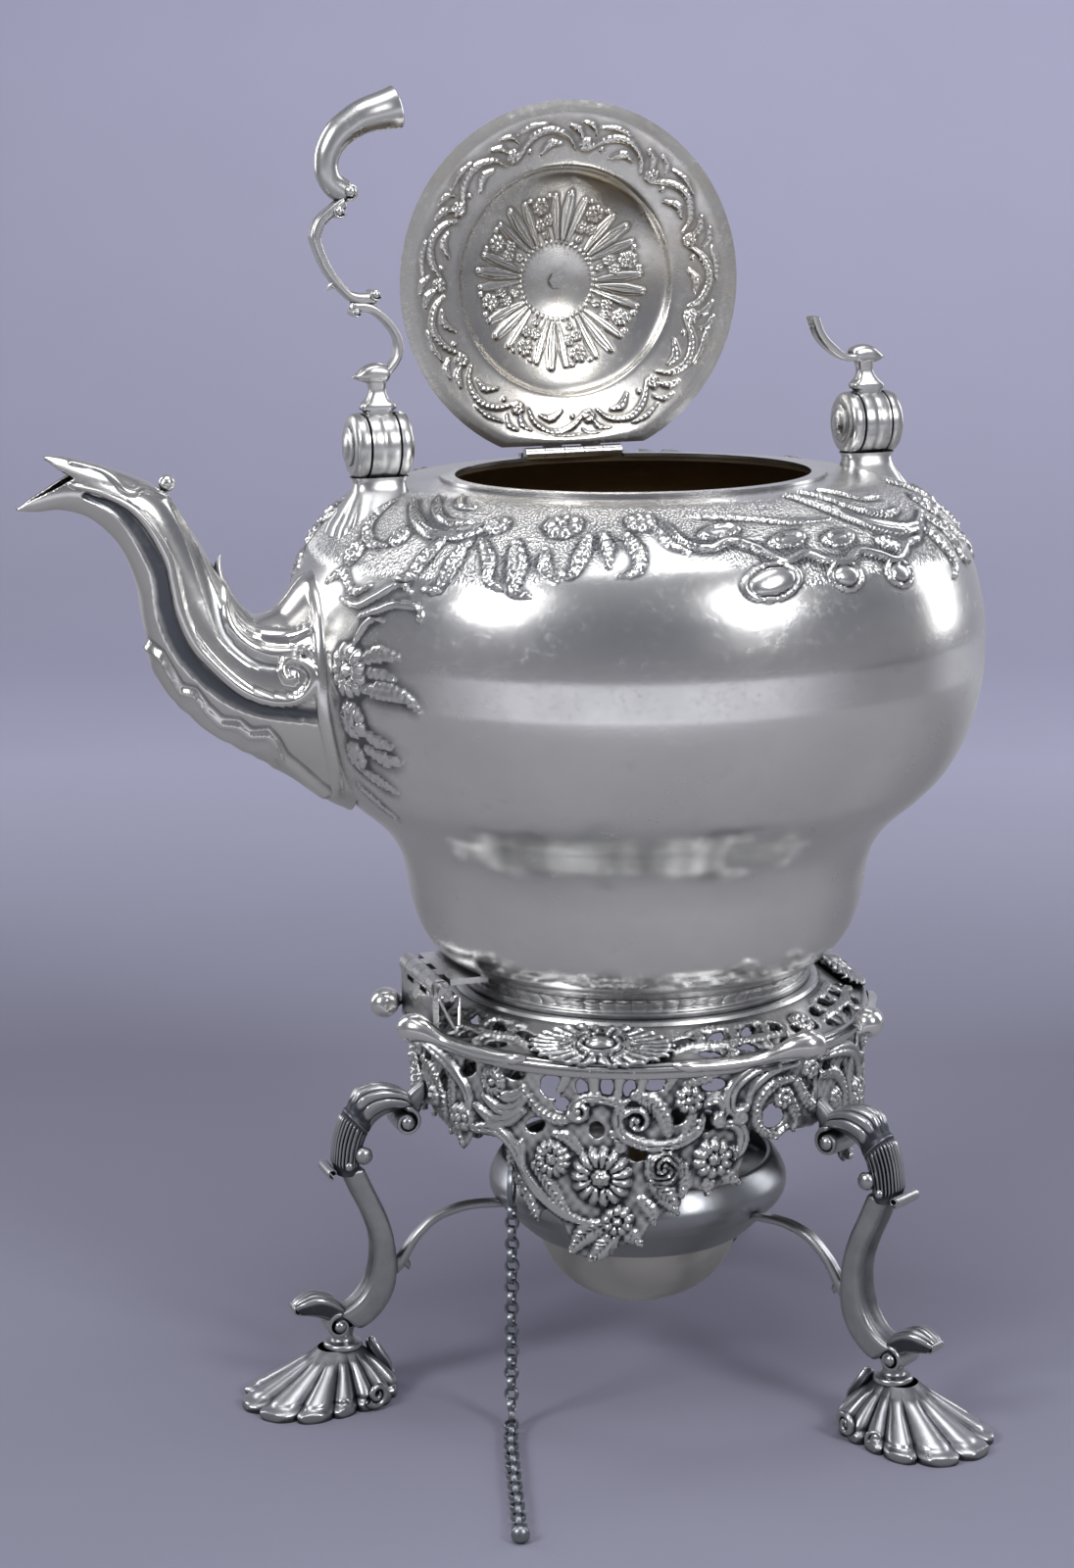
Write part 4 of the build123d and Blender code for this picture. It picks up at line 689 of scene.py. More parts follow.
def add_backdrop():
    """Pale lilac-grey paper: a floor that sweeps up behind the object."""
    rows = [(-2.2, 0), (1.1, 0)]
    rows += [(1.1 + 0.6 * sin(a), 0.6 * (1 - cos(a))) for a in np.linspace(0.1, pi / 2, 14)]
    rows += [(1.7, 2.6)]
    away = Vector((-cos(CAMERA_TURN), -sin(CAMERA_TURN), 0))
    across = Vector((-sin(CAMERA_TURN), cos(CAMERA_TURN), 0))
    bm = bmesh.new()
    rings = [
        [bm.verts.new(away * y + across * x + Vector((0, 0, z))) for x in (-3, 3)]
        for y, z in rows
    ]
    for a, b in zip(rings, rings[1:]):
        face = bm.faces.new((a[0], a[1], b[1], b[0]))
        face.smooth = True
    mesh = bpy.data.meshes.new("backdrop")
    bm.to_mesh(mesh)
    bm.free()
    paper = bpy.data.objects.new("backdrop", mesh)
    bpy.context.scene.collection.objects.link(paper)
    g = Graph("backdrop_paper_painted_light")
    # Painted light: the paper is painted lighter behind and towards the right, with a darker band on the
    # floor a little behind the object. Glossy rays see a greyer paper, painted lighter toward the camera: a
    # painted reflection in the metal
    spot = g.add("SeparateXYZ", Vector=g.place()).outputs
    back, right = (
        g.math("ADD", g.math("MULTIPLY", spot["X"], way.x), g.math("MULTIPLY", spot["Y"], way.y))
        for way in (away, across)
    )
    depth = g.spread(g.math("ADD", back, spot["Z"]), -0.3, 2.3)
    # Painted light: the paper's brightness falls and rises by place, and is painted lighter towards the right
    painted_falloff = g.ramp(depth, [(place, (level, level, level, 1)) for place, level in PAPER_PAINTED_LIGHT])
    level = g.math("MULTIPLY", painted_falloff, g.spread(right, -0.5, 0.5, 0.95, 1.12))
    mottle = g.noise(9.0, 5, 0.6)
    pale = g.tint(mottle, (0.555, 0.55, 0.715, 1), (0.59, 0.585, 0.76, 1))
    # Painted reflection: glossy rays see a greyer paper than the camera sees, so the metal reflects paper
    # that is not there
    glossy = g.add("LightPath").outputs["Is Glossy Ray"]
    tone = g.tint(glossy, pale, (0.68, 0.68, 0.715, 1))
    # Painted reflection: for glossy rays only, the paper near the camera side is painted lighter, by up to
    # 0.85
    near = g.math("MULTIPLY", g.spread(back, -1.0, -0.45, 1.0, 0.0), glossy)
    level = g.math("ADD", level, g.math("MULTIPLY", near, 0.85))
    shade = g.add("VectorMath", {"operation": "SCALE"})
    g.put(shade.inputs[0], tone)
    g.put(shade.inputs["Scale"], level)
    g.put(g.shader.inputs["Base Color"], shade.outputs[0])
    g.shader.inputs["Roughness"].default_value = 0.95
    g.shader.inputs["Specular IOR Level"].default_value = 0.1
    mesh.materials.append(g.owner)


add_backdrop()


def add_lamp(name, azimuth, height, distance, size, power):
    """Soft rectangular lamp; azimuth 0 is the camera's side, counted to its right."""
    turn = CAMERA_TURN + radians(azimuth)
    data = bpy.data.lights.new(name, "AREA")
    data.shape, data.size, data.size_y = "RECTANGLE", size[0], size[1]
    data.energy = power
    lamp = bpy.data.objects.new(name, data)
    lamp.location = (distance * cos(turn), distance * sin(turn), height)
    to_aim = Vector((0, 0, 0.17)) - lamp.location
    lamp.rotation_mode = "QUATERNION"
    lamp.rotation_quaternion = to_aim.to_track_quat("-Z", "Y")
    bpy.context.scene.collection.objects.link(lamp)


add_lamp("key_left", -48, 1.0, 1.3, (0.36, 0.52), 9.5)
add_lamp("key_right", 42, 0.95, 1.3, (0.34, 0.5), 8)
add_lamp("top", 10, 1.9, 0.3, (1.3, 1.0), 11.5)
add_lamp("rim_right", 118, 0.7, 1.4, (0.35, 1.1), 5)
add_lamp("rim_left", -118, 0.7, 1.4, (0.35, 1.1), 5)


# Kettle body: outline from the mouth's flat down to the floor
SHOULDER = (
    (54, 239.4), (57, 239.35), (61.6, 238.7), (69.5, 236.2), (76.6, 232), (82.6, 226), (87, 218),
    (89.4, 209), (90.5, 200), (90.4, 191), (88.9, 182), (86.2, 173.4), (81.6, 165), (75.8, 158.6),
    (70.4, 154), (66, 149.6), (62.8, 144.8), (61, 139.8), (60.2, 134.6), (59, 128.6), (56.6, 122),
    (52.6, 116.6), (46.8, 112.6),
)
WIDEST = 90.45
BODY_LINE = np.vstack([[(47, 239.4), (50.5, 239.4)], eased(SHOULDER, 190)])
BODY_LINE[:, 0] = np.minimum(BODY_LINE[:, 0], WIDEST)
BODY_FAR = run_length(BODY_LINE)


def down(z):
    """Distance down the body's outline, in mm, of a height on it."""
    return float(np.interp(-z, -BODY_LINE[2:, 1], BODY_FAR[2:]))


fine_end, middle_end = down(206), down(150)
marks = np.concatenate([
    np.linspace(0, BODY_FAR[2], 6, endpoint=False), np.arange(BODY_FAR[2], fine_end, 0.5),
    np.arange(fine_end, middle_end, 0.8), np.linspace(middle_end, BODY_FAR[-1], 26),
])
body_r, body_z = (np.interp(marks, BODY_FAR, BODY_LINE[:, k]) for k in (0, 1))
BODY_TURNS = np.arange(900) * 0.4
garland = Relief(BODY_TURNS[None, :], marks[:, None], (body_r * pi / 180)[:, None], around=360)

# Strokes of the garland by angle and height: line, widths, height, groove, veins, notch
LEAF, TENDRIL, RIDGE = (0.5, 0.45, 0.12), (0, 0, 0), (0.45, 0, 0)
GARLAND = (
    (((194.2, 237.6), (202.5, 234.9), (209.4, 232.4), (215.9, 232.1), (220, 233.4)), (0.7, 1.3, 1.4,
     0.8), 1.1, RIDGE),
    (((198, 238.8), (206, 236.4), (211.5, 234.8), (217, 235)), (0.5, 1, 1, 0.5), 0.9, RIDGE),
    (((204, 239.2), (209, 237.8), (214.5, 237.4)), (0.5, 0.9, 0.5), 0.8, TENDRIL),
    (((213.5, 231), (211.6, 227), (210.2, 223), (207.2, 222)), (1, 2, 1.5, 0.5), 1.1, LEAF),
    (((219, 231), (217.8, 226), (216.8, 221), (213.9, 220.6)), (1, 2.2, 1.6, 0.5), 1.2, LEAF),
    (((221.8, 231.6), (224.6, 227.5), (225.4, 223.4), (228, 221.4)), (0.8, 1.7, 1.1, 0.4), 1, LEAF),
    (((228.4, 231.4), (229.8, 226.4), (230, 221.6), (232.8, 220.4)), (1.2, 2.5, 1.7, 0.5), 1.3, LEAF),
    (((234, 230.2), (234.6, 226.6), (236.8, 224)), (0.8, 1.6, 0.5), 1, LEAF),
    (((241.1, 232.8), (240.2, 228.5), (238.9, 225.2), (236, 225.8)), (0.9, 2, 1.2, 0.4), 1.1, LEAF),
    (((243.6, 233.8), (245, 230.2), (244.9, 227)), (0.8, 1.5, 0.5), 1, LEAF),
    (((248.1, 233.2), (250.2, 229.5), (249.6, 226.2), (246.8, 225)), (1, 2.2, 1.4, 0.4), 1.1, LEAF),
    (((253.4, 234.6), (255.4, 231.6), (258.6, 229.8)), (0.8, 1.6, 0.5), 1, LEAF),
    (((255, 235.4), (258, 231.6), (262, 230.3), (266, 231.6), (270, 230.2), (274.5, 226.9), (279,
     228.2), (282, 226.6), (286.1, 225.6), (290, 227.4), (294, 226.2), (298, 224.4), (303, 227.2), (308,
     228), (311.5, 230.4)), (0.8, 1, 1, 1, 1, 0.7), 1.2, TENDRIL),
    (((260, 236.6), (270, 236), (280, 234.6), (289, 234.4)), (0.4, 0.8, 0.8, 0.4), 0.7, TENDRIL),
    (((287, 239), (290.7, 236.6), (296, 233.2), (304, 230.6), (311, 230.2), (318, 232.2)), (0.7, 1.6, 2,
     1.6, 0.7), 1.2, RIDGE),
    (((292.5, 239.2), (298, 235.9), (305, 233.6), (312, 234.2)), (0.5, 1.1, 1.1, 0.5), 1, RIDGE),
    (((299, 239.2), (304, 237.2), (311, 236.6)), (0.4, 0.9, 0.5), 0.8, TENDRIL),
    (((312.4, 229), (315, 225), (316, 220), (313.4, 217.4)), (1, 2, 1.5, 0.5), 1.1, LEAF),
    (((318.4, 231), (321.5, 226.6), (321.5, 221.4), (324.4, 219)), (1, 2.2, 1.5, 0.5), 1.2, LEAF),
    (((324.8, 229), (328.6, 225.4), (332.4, 223.6)), (0.8, 1.8, 0.5), 1, LEAF),
    (((331, 237.8), (336, 234.2), (343, 232.6), (350, 234)), (0.6, 1.4, 1.4, 0.6), 1.1, RIDGE),
    (((334, 231.4), (338, 227), (343, 224.6), (345, 227.2)), (0.8, 2, 1.4, 0.5), 1.1, LEAF),
    (((347, 231.6), (350, 226.4), (356, 222.2), (359.6, 219.4)), (0.9, 2.2, 1.8, 0.6), 1.2, LEAF),
    (((188, 237), (191, 232.4), (196, 229), (201, 228.6)), (0.6, 1.6, 1.4, 0.5), 1.1, LEAF),
    # Leaves and tendrils round the root of the spout
    (((189.2, 219), (193.1, 221.6), (198.1, 218), (202.4, 220.2)), (0.8, 1.6, 1.2, 0.5), 1, LEAF),
    (((195, 216), (200, 215), (204, 217.6), (208.5, 220.9), (211.7, 219.4)), (0.5, 0.9, 0.9, 0.4), 0.8,
     TENDRIL),
    (((201, 212.6), (205.2, 214.6), (208.6, 216.4), (213.3, 216.3), (214.4, 213.2)), (0.5, 0.9, 0.9,
     0.9, 0.4), 0.8, TENDRIL),
    (((200.6, 205.8), (202.1, 209.6), (204, 212.2), (206.6, 212.1)), (0.5, 1, 0.9, 0.4), 0.8, TENDRIL),
    (((203, 202.4), (206.3, 204.4), (210.6, 204.4)), (1.4, 2.3, 0.5), 0.9, LEAF),
    (((203.6, 199.6), (207.4, 199.8), (210.2, 199)), (1, 1.4, 0.4), 0.8, LEAF),
    (((203.4, 195.4), (208.2, 195.7), (212.6, 194.6), (215, 191.8)), (1.2, 2.4, 1.8, 0.4), 1, LEAF),
    (((202.2, 184.2), (205.6, 182.3), (208.4, 181.9)), (1.2, 2.1, 0.5), 0.9, LEAF),
    (((202, 180), (205.8, 178.4), (209.8, 178.2)), (1.2, 2.3, 0.5), 0.9, LEAF),
    (((198.6, 174), (202.6, 171.6), (206.4, 169.2)), (1, 1.9, 0.5), 0.9, LEAF),
    (((194.8, 168.6), (198.1, 164.6), (200.8, 160.8)), (0.9, 1.6, 0.5), 0.8, LEAF),
)
BLOSSOMS = (
    (235.9, 235.2, 4.8, 7, 1.3), (222.6, 234.8, 3.4, 6, 1.1), (250.6, 236, 3.8, 6, 1.1),
    (326, 233.2, 4.6, 7, 1.2), (203, 231, 3, 6, 1), (199.4, 199.2, 6.9, 11, 1.6),
    (199.6, 186.9, 5, 12, 1.2), (198.4, 177.6, 4, 9, 1), (193.6, 226.4, 3.6, 7, 1),
)
LOBES = (
    (271.6, 222.8, 6.2, 3.3, 1.6, -12), (285.4, 222.6, 3.6, 2.5, 1.2, 0),
    (297.4, 221.6, 3.4, 2.3, 1.1, 8), (339, 220.4, 3.4, 2.4, 1.1, 0),
)
LENSES = ((264.9, 233.6, -14), (277, 231.2, -12), (287.6, 230.6, -6), (299, 227.6, 24))
for side in (1, -1):
    for angle, z, wide, tall, rise, tip in LOBES:
        at = (180 + side * (angle - 180), down(z))
        garland.add(dome, at, tip, side, wide=wide, tall=tall, height=rise, power=2.6)
        garland.add(ring, at, tip, side, wide=wide + 0.9, tall=tall + 0.9, width=0.6, height=0.7)
    for angle, z, tip in LENSES:
        at = (180 + side * (angle - 180), down(z))
        garland.add(ring, at, tip, side, wide=4.2, tall=1.7, width=0.55, height=0.9)
        garland.add(dome, at, tip, side, wide=3.6, tall=1.2, height=0.6)
    for line, width, rise, (groove, veins, notch) in GARLAND:
        line = [(angle, down(z)) for angle, z in line]
        garland.trace(line, width, rise, side, 180, groove=groove, veins=veins, notch=notch)
    for angle, z, size, petals, rise in BLOSSOMS:
        garland.add(flower, (180 + side * (angle - 180), down(z)), 17, side,
                    mode="over", radius=size, petals=petals, height=rise)
garland.add(flower, (0, down(232)), radius=6.5, petals=9, height=1.5, mode="over")

# Lower edge of the soft swelling under the garland, by angle, with a stippled ground above it
GARLAND_EDGE = (
    (0, 35, 66, 77, 87, 96, 102, 105, 115, 120, 131, 140, 152, 170, 180, 190, 208, 220, 229, 240, 245,
     255, 258, 264, 273, 283, 294, 325, 360),
    (221, 219, 221, 220, 220, 227, 227, 233, 226, 225, 221, 221, 221, 221, 221, 221, 221, 221, 221, 225,
     227, 233, 227, 227, 220, 220, 221, 219, 221),
)
GARLAND_TOP = 239.3
share = np.clip((body_z[:, None] - np.interp(BODY_TURNS, *GARLAND_EDGE)[None, :]) / 5.0, 0, 1)
share = share * np.clip((GARLAND_TOP - body_z[:, None]) / 1.2, 0, 1)
share = share * share * (3 - 2 * share)
garland.height = np.where(garland.height > 0, garland.height + 0.25 * share, 0.10 * share)
garland.ground = share * (garland.height < 0.22)
relief_piece("kettle_skin", spun(np.c_[body_r, body_z], BODY_TURNS), garland, CHASED, "kettle",
             ("kettle_body",), round_columns=True, depth=0.42, out=-1,
             faces=grid_faces(*garland.height.shape, False, True)[:, ::-1])

SHEET = 1.3
inward = np.gradient(BODY_LINE, axis=0)
inward = np.c_[inward[:, 1], -inward[:, 0]] / np.hypot(*inward.T)[:, None]
inside = (BODY_LINE + inward * SHEET)[::-1]
inside = np.vstack([[(0.05, 113.9), (20, 113.9), (44.4, 113.9)], inside[inside[:, 1] > 115], [(46.9, 239.4)]])
lathe("kettle_inside", inside, GILT, "kettle", finish="polished_silver", segments=144)


# Apron: one pendant panel of flowers, leaves and scrolls, by angle from its middle and height
APRON_R = 60.0
APRON_TOP = 98.0
PANEL_EDGE = (
    (-61, 77.4), (-56.2, 78.5), (-50, 76.4), (-46.2, 75.3), (-42, 73.6), (-39.3, 71), (-37.4, 73),
    (-35.5, 76.5), (-30, 76.8), (-26.3, 77.2), (-23, 71.4), (-21.2, 66.8), (-18.4, 60.4), (-16.4, 57.7),
    (-14, 60.4), (-9.5, 57.6), (-7.2, 52), (-6.3, 49.2), (-3, 48.6), (0.2, 48.3), (3.4, 51.8),
    (6.6, 52.6), (9.6, 52.9), (11.8, 57.6), (15.6, 61), (19.1, 61.4), (20.7, 67.4), (25.6, 65.7),
    (30, 66.6), (34, 67.6), (36.2, 75.5), (37.6, 80.4), (41, 78.4), (45.2, 76.6), (49.4, 78),
    (57.6, 77), (61, 77.4),
)
PANEL_HOLES = (
    (-36.8, 93.6, 3, 2.2, 30), (-22, 95, 3.2, 1.6, 0), (-11.8, 92.9, 3.3, 3, 0),
    (-9.4, 88.6, 2.2, 1.8, 0), (-4.2, 93.2, 1.5, 2.3, 14), (1.9, 94, 1.6, 2.5, 0),
    (7.3, 93.6, 1.5, 2.3, -14), (13.2, 94.8, 3.4, 1.9, 0), (18.6, 85.8, 2, 2, 0),
    (-16.4, 82.3, 2.8, 1.9, 20), (-0.7, 82.5, 1.9, 2.1, 0), (9, 76.6, 2.2, 2, 0),
    (27.8, 93.4, 3.2, 1.6, 0), (26.2, 84.2, 2.3, 2.8, -10), (44.4, 83, 3.6, 3.2, 20),
    (-47.5, 87.4, 1.9, 3, 16), (56, 88, 2.4, 3.4, 0), (-56.5, 90.6, 2.2, 2.4, 0),
    (-23.5, 70.7, 1.5, 1.9, 0),
)
STEM, CURL, FROND = (0.35, 0, 0), (0.5, 0, 0), (0.4, 0.5, 0.16)
LEAFLET, BROAD = (0.5, 0.5, 0.12), (0.5, 0.5, 0.1)
PANEL_STROKES = (
    # Fan under the band and its small pair of scrolls
    (((-9.9, 92), (-8.6, 94.6), (-7.4, 97.4)), (0.9, 1.2, 1.2), 0.8, STEM),
    (((-1.6, 89.6), (-1.2, 93.4), (-1.2, 97.6)), (0.9, 1.2, 1.4), 0.9, STEM),
    (((4.4, 90), (4.8, 94), (5.2, 97.6)), (0.9, 1.2, 1.4), 0.9, STEM),
    (((9.4, 91), (10.4, 94.4), (11, 97.6)), (0.8, 1.1, 1.2), 0.8, STEM),
    (((-5.2, 86.2), (-6.9, 88), (-3.4, 90.8), (1.3, 90.6), (5.2, 89.4), (7, 90.6)), (0.9, 1.1, 1.4, 1.4,
     1.1, 0.6), 1.5, CURL),
    # Large scroll right of it with its leaf
    (((5, 88.2), (4.6, 84.6), (6.4, 81), (12.1, 78.6), (18.4, 79), (23.6, 81.8), (25, 85.6)), (1.5, 1.6,
     1.6, 1.6, 1.5, 1.3, 0.8), 1.7, CURL),
    (((8.7, 91.8), (12.2, 89.9), (15.4, 86.4), (16.6, 81.4)), (1.6, 2.6, 2.4, 1.2), 1.3, FROND),
    (((20.6, 80.4), (22.4, 84.4), (22, 87.6)), (1.6, 2.2, 1), 1.2, FROND),
    (((24.6, 88.6), (28.6, 89.6), (30.6, 87), (29.4, 83.4)), (0.8, 1.3, 1.3, 0.7), 1.3, CURL),
    (((28.4, 83.2), (33.2, 82.6), (35.4, 79.6), (34.6, 75.8), (31.6, 73.6)), (1, 1.5, 1.7, 1.5, 0.9),
     1.5, CURL),
    (((45.1, 96.4), (38.4, 96.2), (33, 92.6), (31.8, 87.4), (34.6, 84.2)), (1, 1.8, 2, 1.8, 1.1), 1.7,
     CURL), (((52, 95), (44, 94.6), (38.2, 91.2), (36.6, 86.4)), (0.7, 1.2, 1.2, 0.6), 1.2, STEM),
    (((50.4, 91.4), (44.2, 91), (39.6, 86.6), (40.2, 80.4), (44.6, 77.6), (48.4, 79.2)), (0.8, 1.6, 1.9,
     1.7, 1.2, 0.6), 1.5, FROND), (((50, 84.8), (52, 80.4), (50.4, 77.8)), (1.8, 1.6, 0.6), 1.2, FROND),
    (((52, 90), (56, 84), (60.8, 80)), (1.6, 2, 1.4), 1.2, FROND),
    # Left scrolls and the ribbed bell
    (((-60.6, 95), (-52, 94.6), (-43, 92.2), (-37, 87), (-36.4, 80.4)), (1.2, 1.8, 2, 1.8, 1), 1.5,
     CURL), (((-59, 90), (-52, 88.4), (-47.6, 83.4), (-46.6, 77.8)), (1.4, 1.8, 1.6, 0.8), 1.3, FROND),
    (((-42.4, 91), (-43.6, 84), (-41.4, 76.6), (-39.4, 72.6)), (1.2, 2, 2, 0.8), 1.3, FROND),
    (((-34.8, 78.2), (-27.3, 79.2), (-22, 75.4), (-19.8, 70.1)), (1.2, 1.8, 1.8, 1.1), 1.5, CURL),
    (((-34, 84.2), (-29, 81.8), (-24, 82.4), (-19.4, 85.6)), (1, 1.7, 1.7, 0.9), 1.3, CURL),
    (((-31, 87.2), (-26.6, 85), (-22.2, 85.8), (-19, 88.8)), (1, 1.7, 1.6, 0.9), 1.3, CURL),
    (((-27.6, 89.4), (-24.2, 88.4), (-21.2, 89.6), (-19.2, 91.6)), (0.9, 1.5, 1.4, 0.8), 1.2, CURL),
    (((-18.8, 90.4), (-15, 86.2), (-10.2, 84.2), (-6.4, 85.2)), (1.3, 1.6, 1.5, 0.9), 1.3, FROND),
    (((-20.1, 77), (-19.9, 71), (-16.2, 65.3), (-9.5, 60.2), (-2.9, 57.8)), (0.9, 1.3, 1.5, 1.4, 0.9),
     1.4, STEM), (((-16.4, 71.6), (-12.4, 66.6), (-8.6, 60.9)), (1.4, 2.4, 1.2), 1.3, FROND),
    (((-20.8, 67.2), (-17.8, 62.2), (-15.8, 57.6)), (1.6, 2.3, 0.7), 1.3, FROND),
    (((-22.6, 75.6), (-23, 71.2), (-21.4, 67.8)), (1.4, 1.9, 0.9), 1.2, FROND),
    # Leaves between and below the flowers
    (((1.4, 58), (-3.4, 55.2), (-7, 50.6)), (2, 3.3, 1.2), 1.6, BROAD),
    (((3.6, 55.8), (1, 52), (-2.4, 48.4)), (1.9, 3, 1.2), 1.6, BROAD),
    (((5.4, 57.4), (7.6, 55), (9.9, 52.8)), (1.6, 2.3, 0.8), 1.4, BROAD),
    (((12.8, 68.6), (16, 65.4), (18.6, 61)), (1.6, 3, 1), 1.5, LEAFLET),
    (((10, 64.4), (12.6, 61), (13, 58.2)), (1.4, 2.2, 0.8), 1.3, LEAFLET),
    (((29.4, 70.8), (32.4, 68.6), (34.6, 67)), (1.4, 2.4, 0.7), 1.4, LEAFLET),
    (((27.2, 70.2), (26.4, 67.4), (26, 65)), (1.3, 2, 0.6), 1.3, LEAFLET),
    (((4, 76.8), (5.4, 79.2), (3, 82)), (1.2, 2, 0.8), 1.2, LEAFLET),
    (((-4.8, 76.8), (-7.6, 79.8), (-11.4, 80.6)), (1.2, 2.1, 0.8), 1.2, LEAFLET),
    (((20.2, 72.4), (20.6, 68.4), (19.6, 65.4)), (1.6, 2.3, 0.9), 1.2, FROND),
    (((29.4, 96.6), (24.4, 95), (21, 94.4)), (0.8, 1.8, 0.9), 1.2, FROND),
    (((15.8, 92.6), (17.4, 95.6), (19.6, 97.4)), (0.8, 1.5, 0.8), 1, FROND),
)
PANEL_CURLS = (
    (-4.9, 87.4, 2.6, 200, 1), (9, 85.2, 3.4, 150, -1), (34.8, 84.4, 2.2, 60, 1),
    (31.2, 74.6, 1.8, 60, -1), (-36.8, 80.2, 2, 100, -1), (29.2, 84, 1.7, 90, 1),
)
PANEL_FLOWERS = (
    (-11.8, 74.1, 5, 13, 1.9), (0.4, 70.4, 8, 15, 2.6), (27.6, 74.3, 5.4, 10, 2.1),
    (21.7, 90.2, 3.9, 8, 1.9), (-39.7, 79.7, 4, 6, 1.8), (-28.1, 91.9, 4, 14, 1.8),
    (4.2, 59, 4.2, 9, 2), (47.2, 87.1, 3.2, 7, 1.6), (56.6, 92.6, 3, 6, 1.4), (-52.4, 82, 2.8, 6, 1.3),
)
panel = Relief(np.arange(-60.2, 60.3, 0.46)[None, :], np.arange(45.5, APRON_TOP, 0.48)[:, None],
               APRON_R * pi / 180)
for line, width, rise, (groove, veins, notch) in PANEL_STROKES:
    panel.trace(line, width, rise, groove=groove, veins=veins, notch=notch, pitch=1.5)
for angle, z, size, start, hand in PANEL_CURLS:
    spiral = curl((0, 0), size, 1.4, start, hand)
    panel.add(stroke, (angle, z), line=spiral, width=(1.0, 0.8, 0.55), height=1.8)
    panel.add(dome, (angle, z), wide=0.9, tall=0.9, height=2.0)
for angle, z, size, petals, rise in PANEL_FLOWERS:
    panel.add(flower, (angle, z), 12, mode="over", radius=size, petals=petals, height=rise, eye=0.36)
panel.add(rose, (15.4, 72.9), radius=5.0, height=2.2, mode="over")

edge_line = np.array(PANEL_EDGE, float)
edge_flat = edge_line * (APRON_R * pi / 180, 1)
flat_x, flat_z = panel.across * panel.scale, panel.along
gap = np.min([from_line(flat_x, flat_z, a, b) for a, b in zip(edge_flat, edge_flat[1:])], axis=0)
panel_solid = np.where(flat_z > np.interp(panel.across, *edge_line.T), gap, -gap)
for angle, z, wide, tall, tip in PANEL_HOLES:
    hole = oval((panel.across - angle) * panel.scale, panel.along - z, wide, tall, tip)
    panel_solid = np.minimum(panel_solid, hole)
panel_solid = np.maximum(panel_solid, (panel.height - 0.2) * 1.6)
panel_solid = np.where(panel.along > 96.6, np.maximum(panel_solid, 0.5), panel_solid)
uneven = 0.12 * np.sin(panel.across * 2.1) * np.cos(panel.along * 1.7)
panel.height = np.where(panel.height > 0, panel.height, uneven)
panel.height *= np.clip((APRON_TOP + 0.2 - panel.along) / 1.2, 0.1, 1)


def on_apron(middle):
    def place(across, along, lift):
        a = np.radians(middle + across)
        r = APRON_R - 0.35 + lift * 0.95
        return polar(r, a, along)
    return place


SHELLS = (240, 0, 120)
for number, middle in enumerate(SHELLS, 1):
    cut_sheet(f"pierced_apron_{number}", on_apron(middle), panel, panel_solid, 1.25,
              (f"apron_{number}", f"apron_flowers_{number}"), 0.9)

# Gallery plate: sloping ring with oblique openings, leaves and flowers, between seat and rim
SLOPE = np.array([(48.3, 106.2), (61.6, 99.5)])
SLOPE_LONG = float(np.hypot(*(SLOPE[1] - SLOPE[0])))
SLOPE_OUT = (SLOPE[1] - SLOPE[0]) / SLOPE_LONG
PLATE_HOLES = (
    (21.5, 6.4, 3.4, 1.3, -18), (28, 11, 3, 1.1, 10), (31.5, 5.6, 3, 1.4, -30),
    (38.5, 10.4, 3.2, 1.3, 22), (42, 5, 2.8, 1.3, -24), (50.5, 5.4, 2.4, 1.5, 20),
    (50, 11, 2.2, 1.2, -20), (57, 8.2, 1.8, 2, 0),
)
PLATE_STROKES = (
    (((19, 9.5), (25, 7.6), (34, 8.4), (44, 8), (52, 8.6)), (0.7, 1.3, 1.5, 1.3, 0.7), 1),
    (((24, 3.2), (30, 2.6), (38, 2.8), (46, 2.4)), (0.6, 1.2, 1.2, 0.6), 0.9),
    (((26, 8), (27, 4.4), (25, 2.6)), (0.8, 1.5, 0.6), 0.9),
    (((36, 8.4), (37, 5), (35, 2.8)), (0.8, 1.6, 0.6), 0.9),
    (((33, 8.6), (34, 11.6), (31.5, 13.2)), (0.8, 1.5, 0.6), 0.9),
    (((45, 8), (44, 11.4), (46.5, 13.2)), (0.8, 1.5, 0.6), 0.9),
    (((46, 7.6), (48, 4.2), (46, 2.4)), (0.7, 1.4, 0.6), 0.9),
)
plate_along = np.arange(0, SLOPE_LONG + 0.01, SLOPE_LONG / 30)[:, None]
plate_r = SLOPE[0, 0] + plate_along * SLOPE_OUT[0]
plate = Relief(np.arange(0, 361, 0.5)[None, :], plate_along, plate_r * pi / 180, around=360)
plate_solid = np.full(plate.height.shape, 5.0)
for middle in SHELLS:
    for side in (1, -1):
        for angle, spot, wide, tall, tip in PLATE_HOLES:
            turn = (plate.across - middle - side * angle + 180) % 360 - 180
            hole = oval(turn * plate.scale * side, plate.along - spot, wide, tall, tip)
            plate_solid = np.minimum(plate_solid, hole)
        for line, width, rise in PLATE_STROKES:
            points = [(middle + side * angle, spot) for angle, spot in line]
            plate.trace(points, width, rise, groove=0.4, veins=0.4, notch=0.12, pitch=1.5)
for angle in range(0, 360, 60):
    plate.add(flower, (angle, 7.0), radius=3.6, petals=8, height=1.3, mode="over")
plate_solid = np.maximum(plate_solid, (plate.height - 0.25) * 1.5)
bead = 0.8 * np.sqrt(np.clip(1 - ((plate.along - 14.2) / 0.9) ** 2, 0, 1))
plate.height = np.maximum(plate.height, bead)


def off_slope(turn, far, lift):
    """Points at an angle, a way down the slope and a height off it."""
    r = SLOPE[0, 0] + far * SLOPE_OUT[0] - lift * SLOPE_OUT[1]
    return polar(r, turn, SLOPE[0, 1] + far * SLOPE_OUT[1] + lift * SLOPE_OUT[0])


def on_slope(across, along, lift):
    """Walked the other way across, so that the faces look outward."""
    return off_slope(np.radians(-across), along, lift)


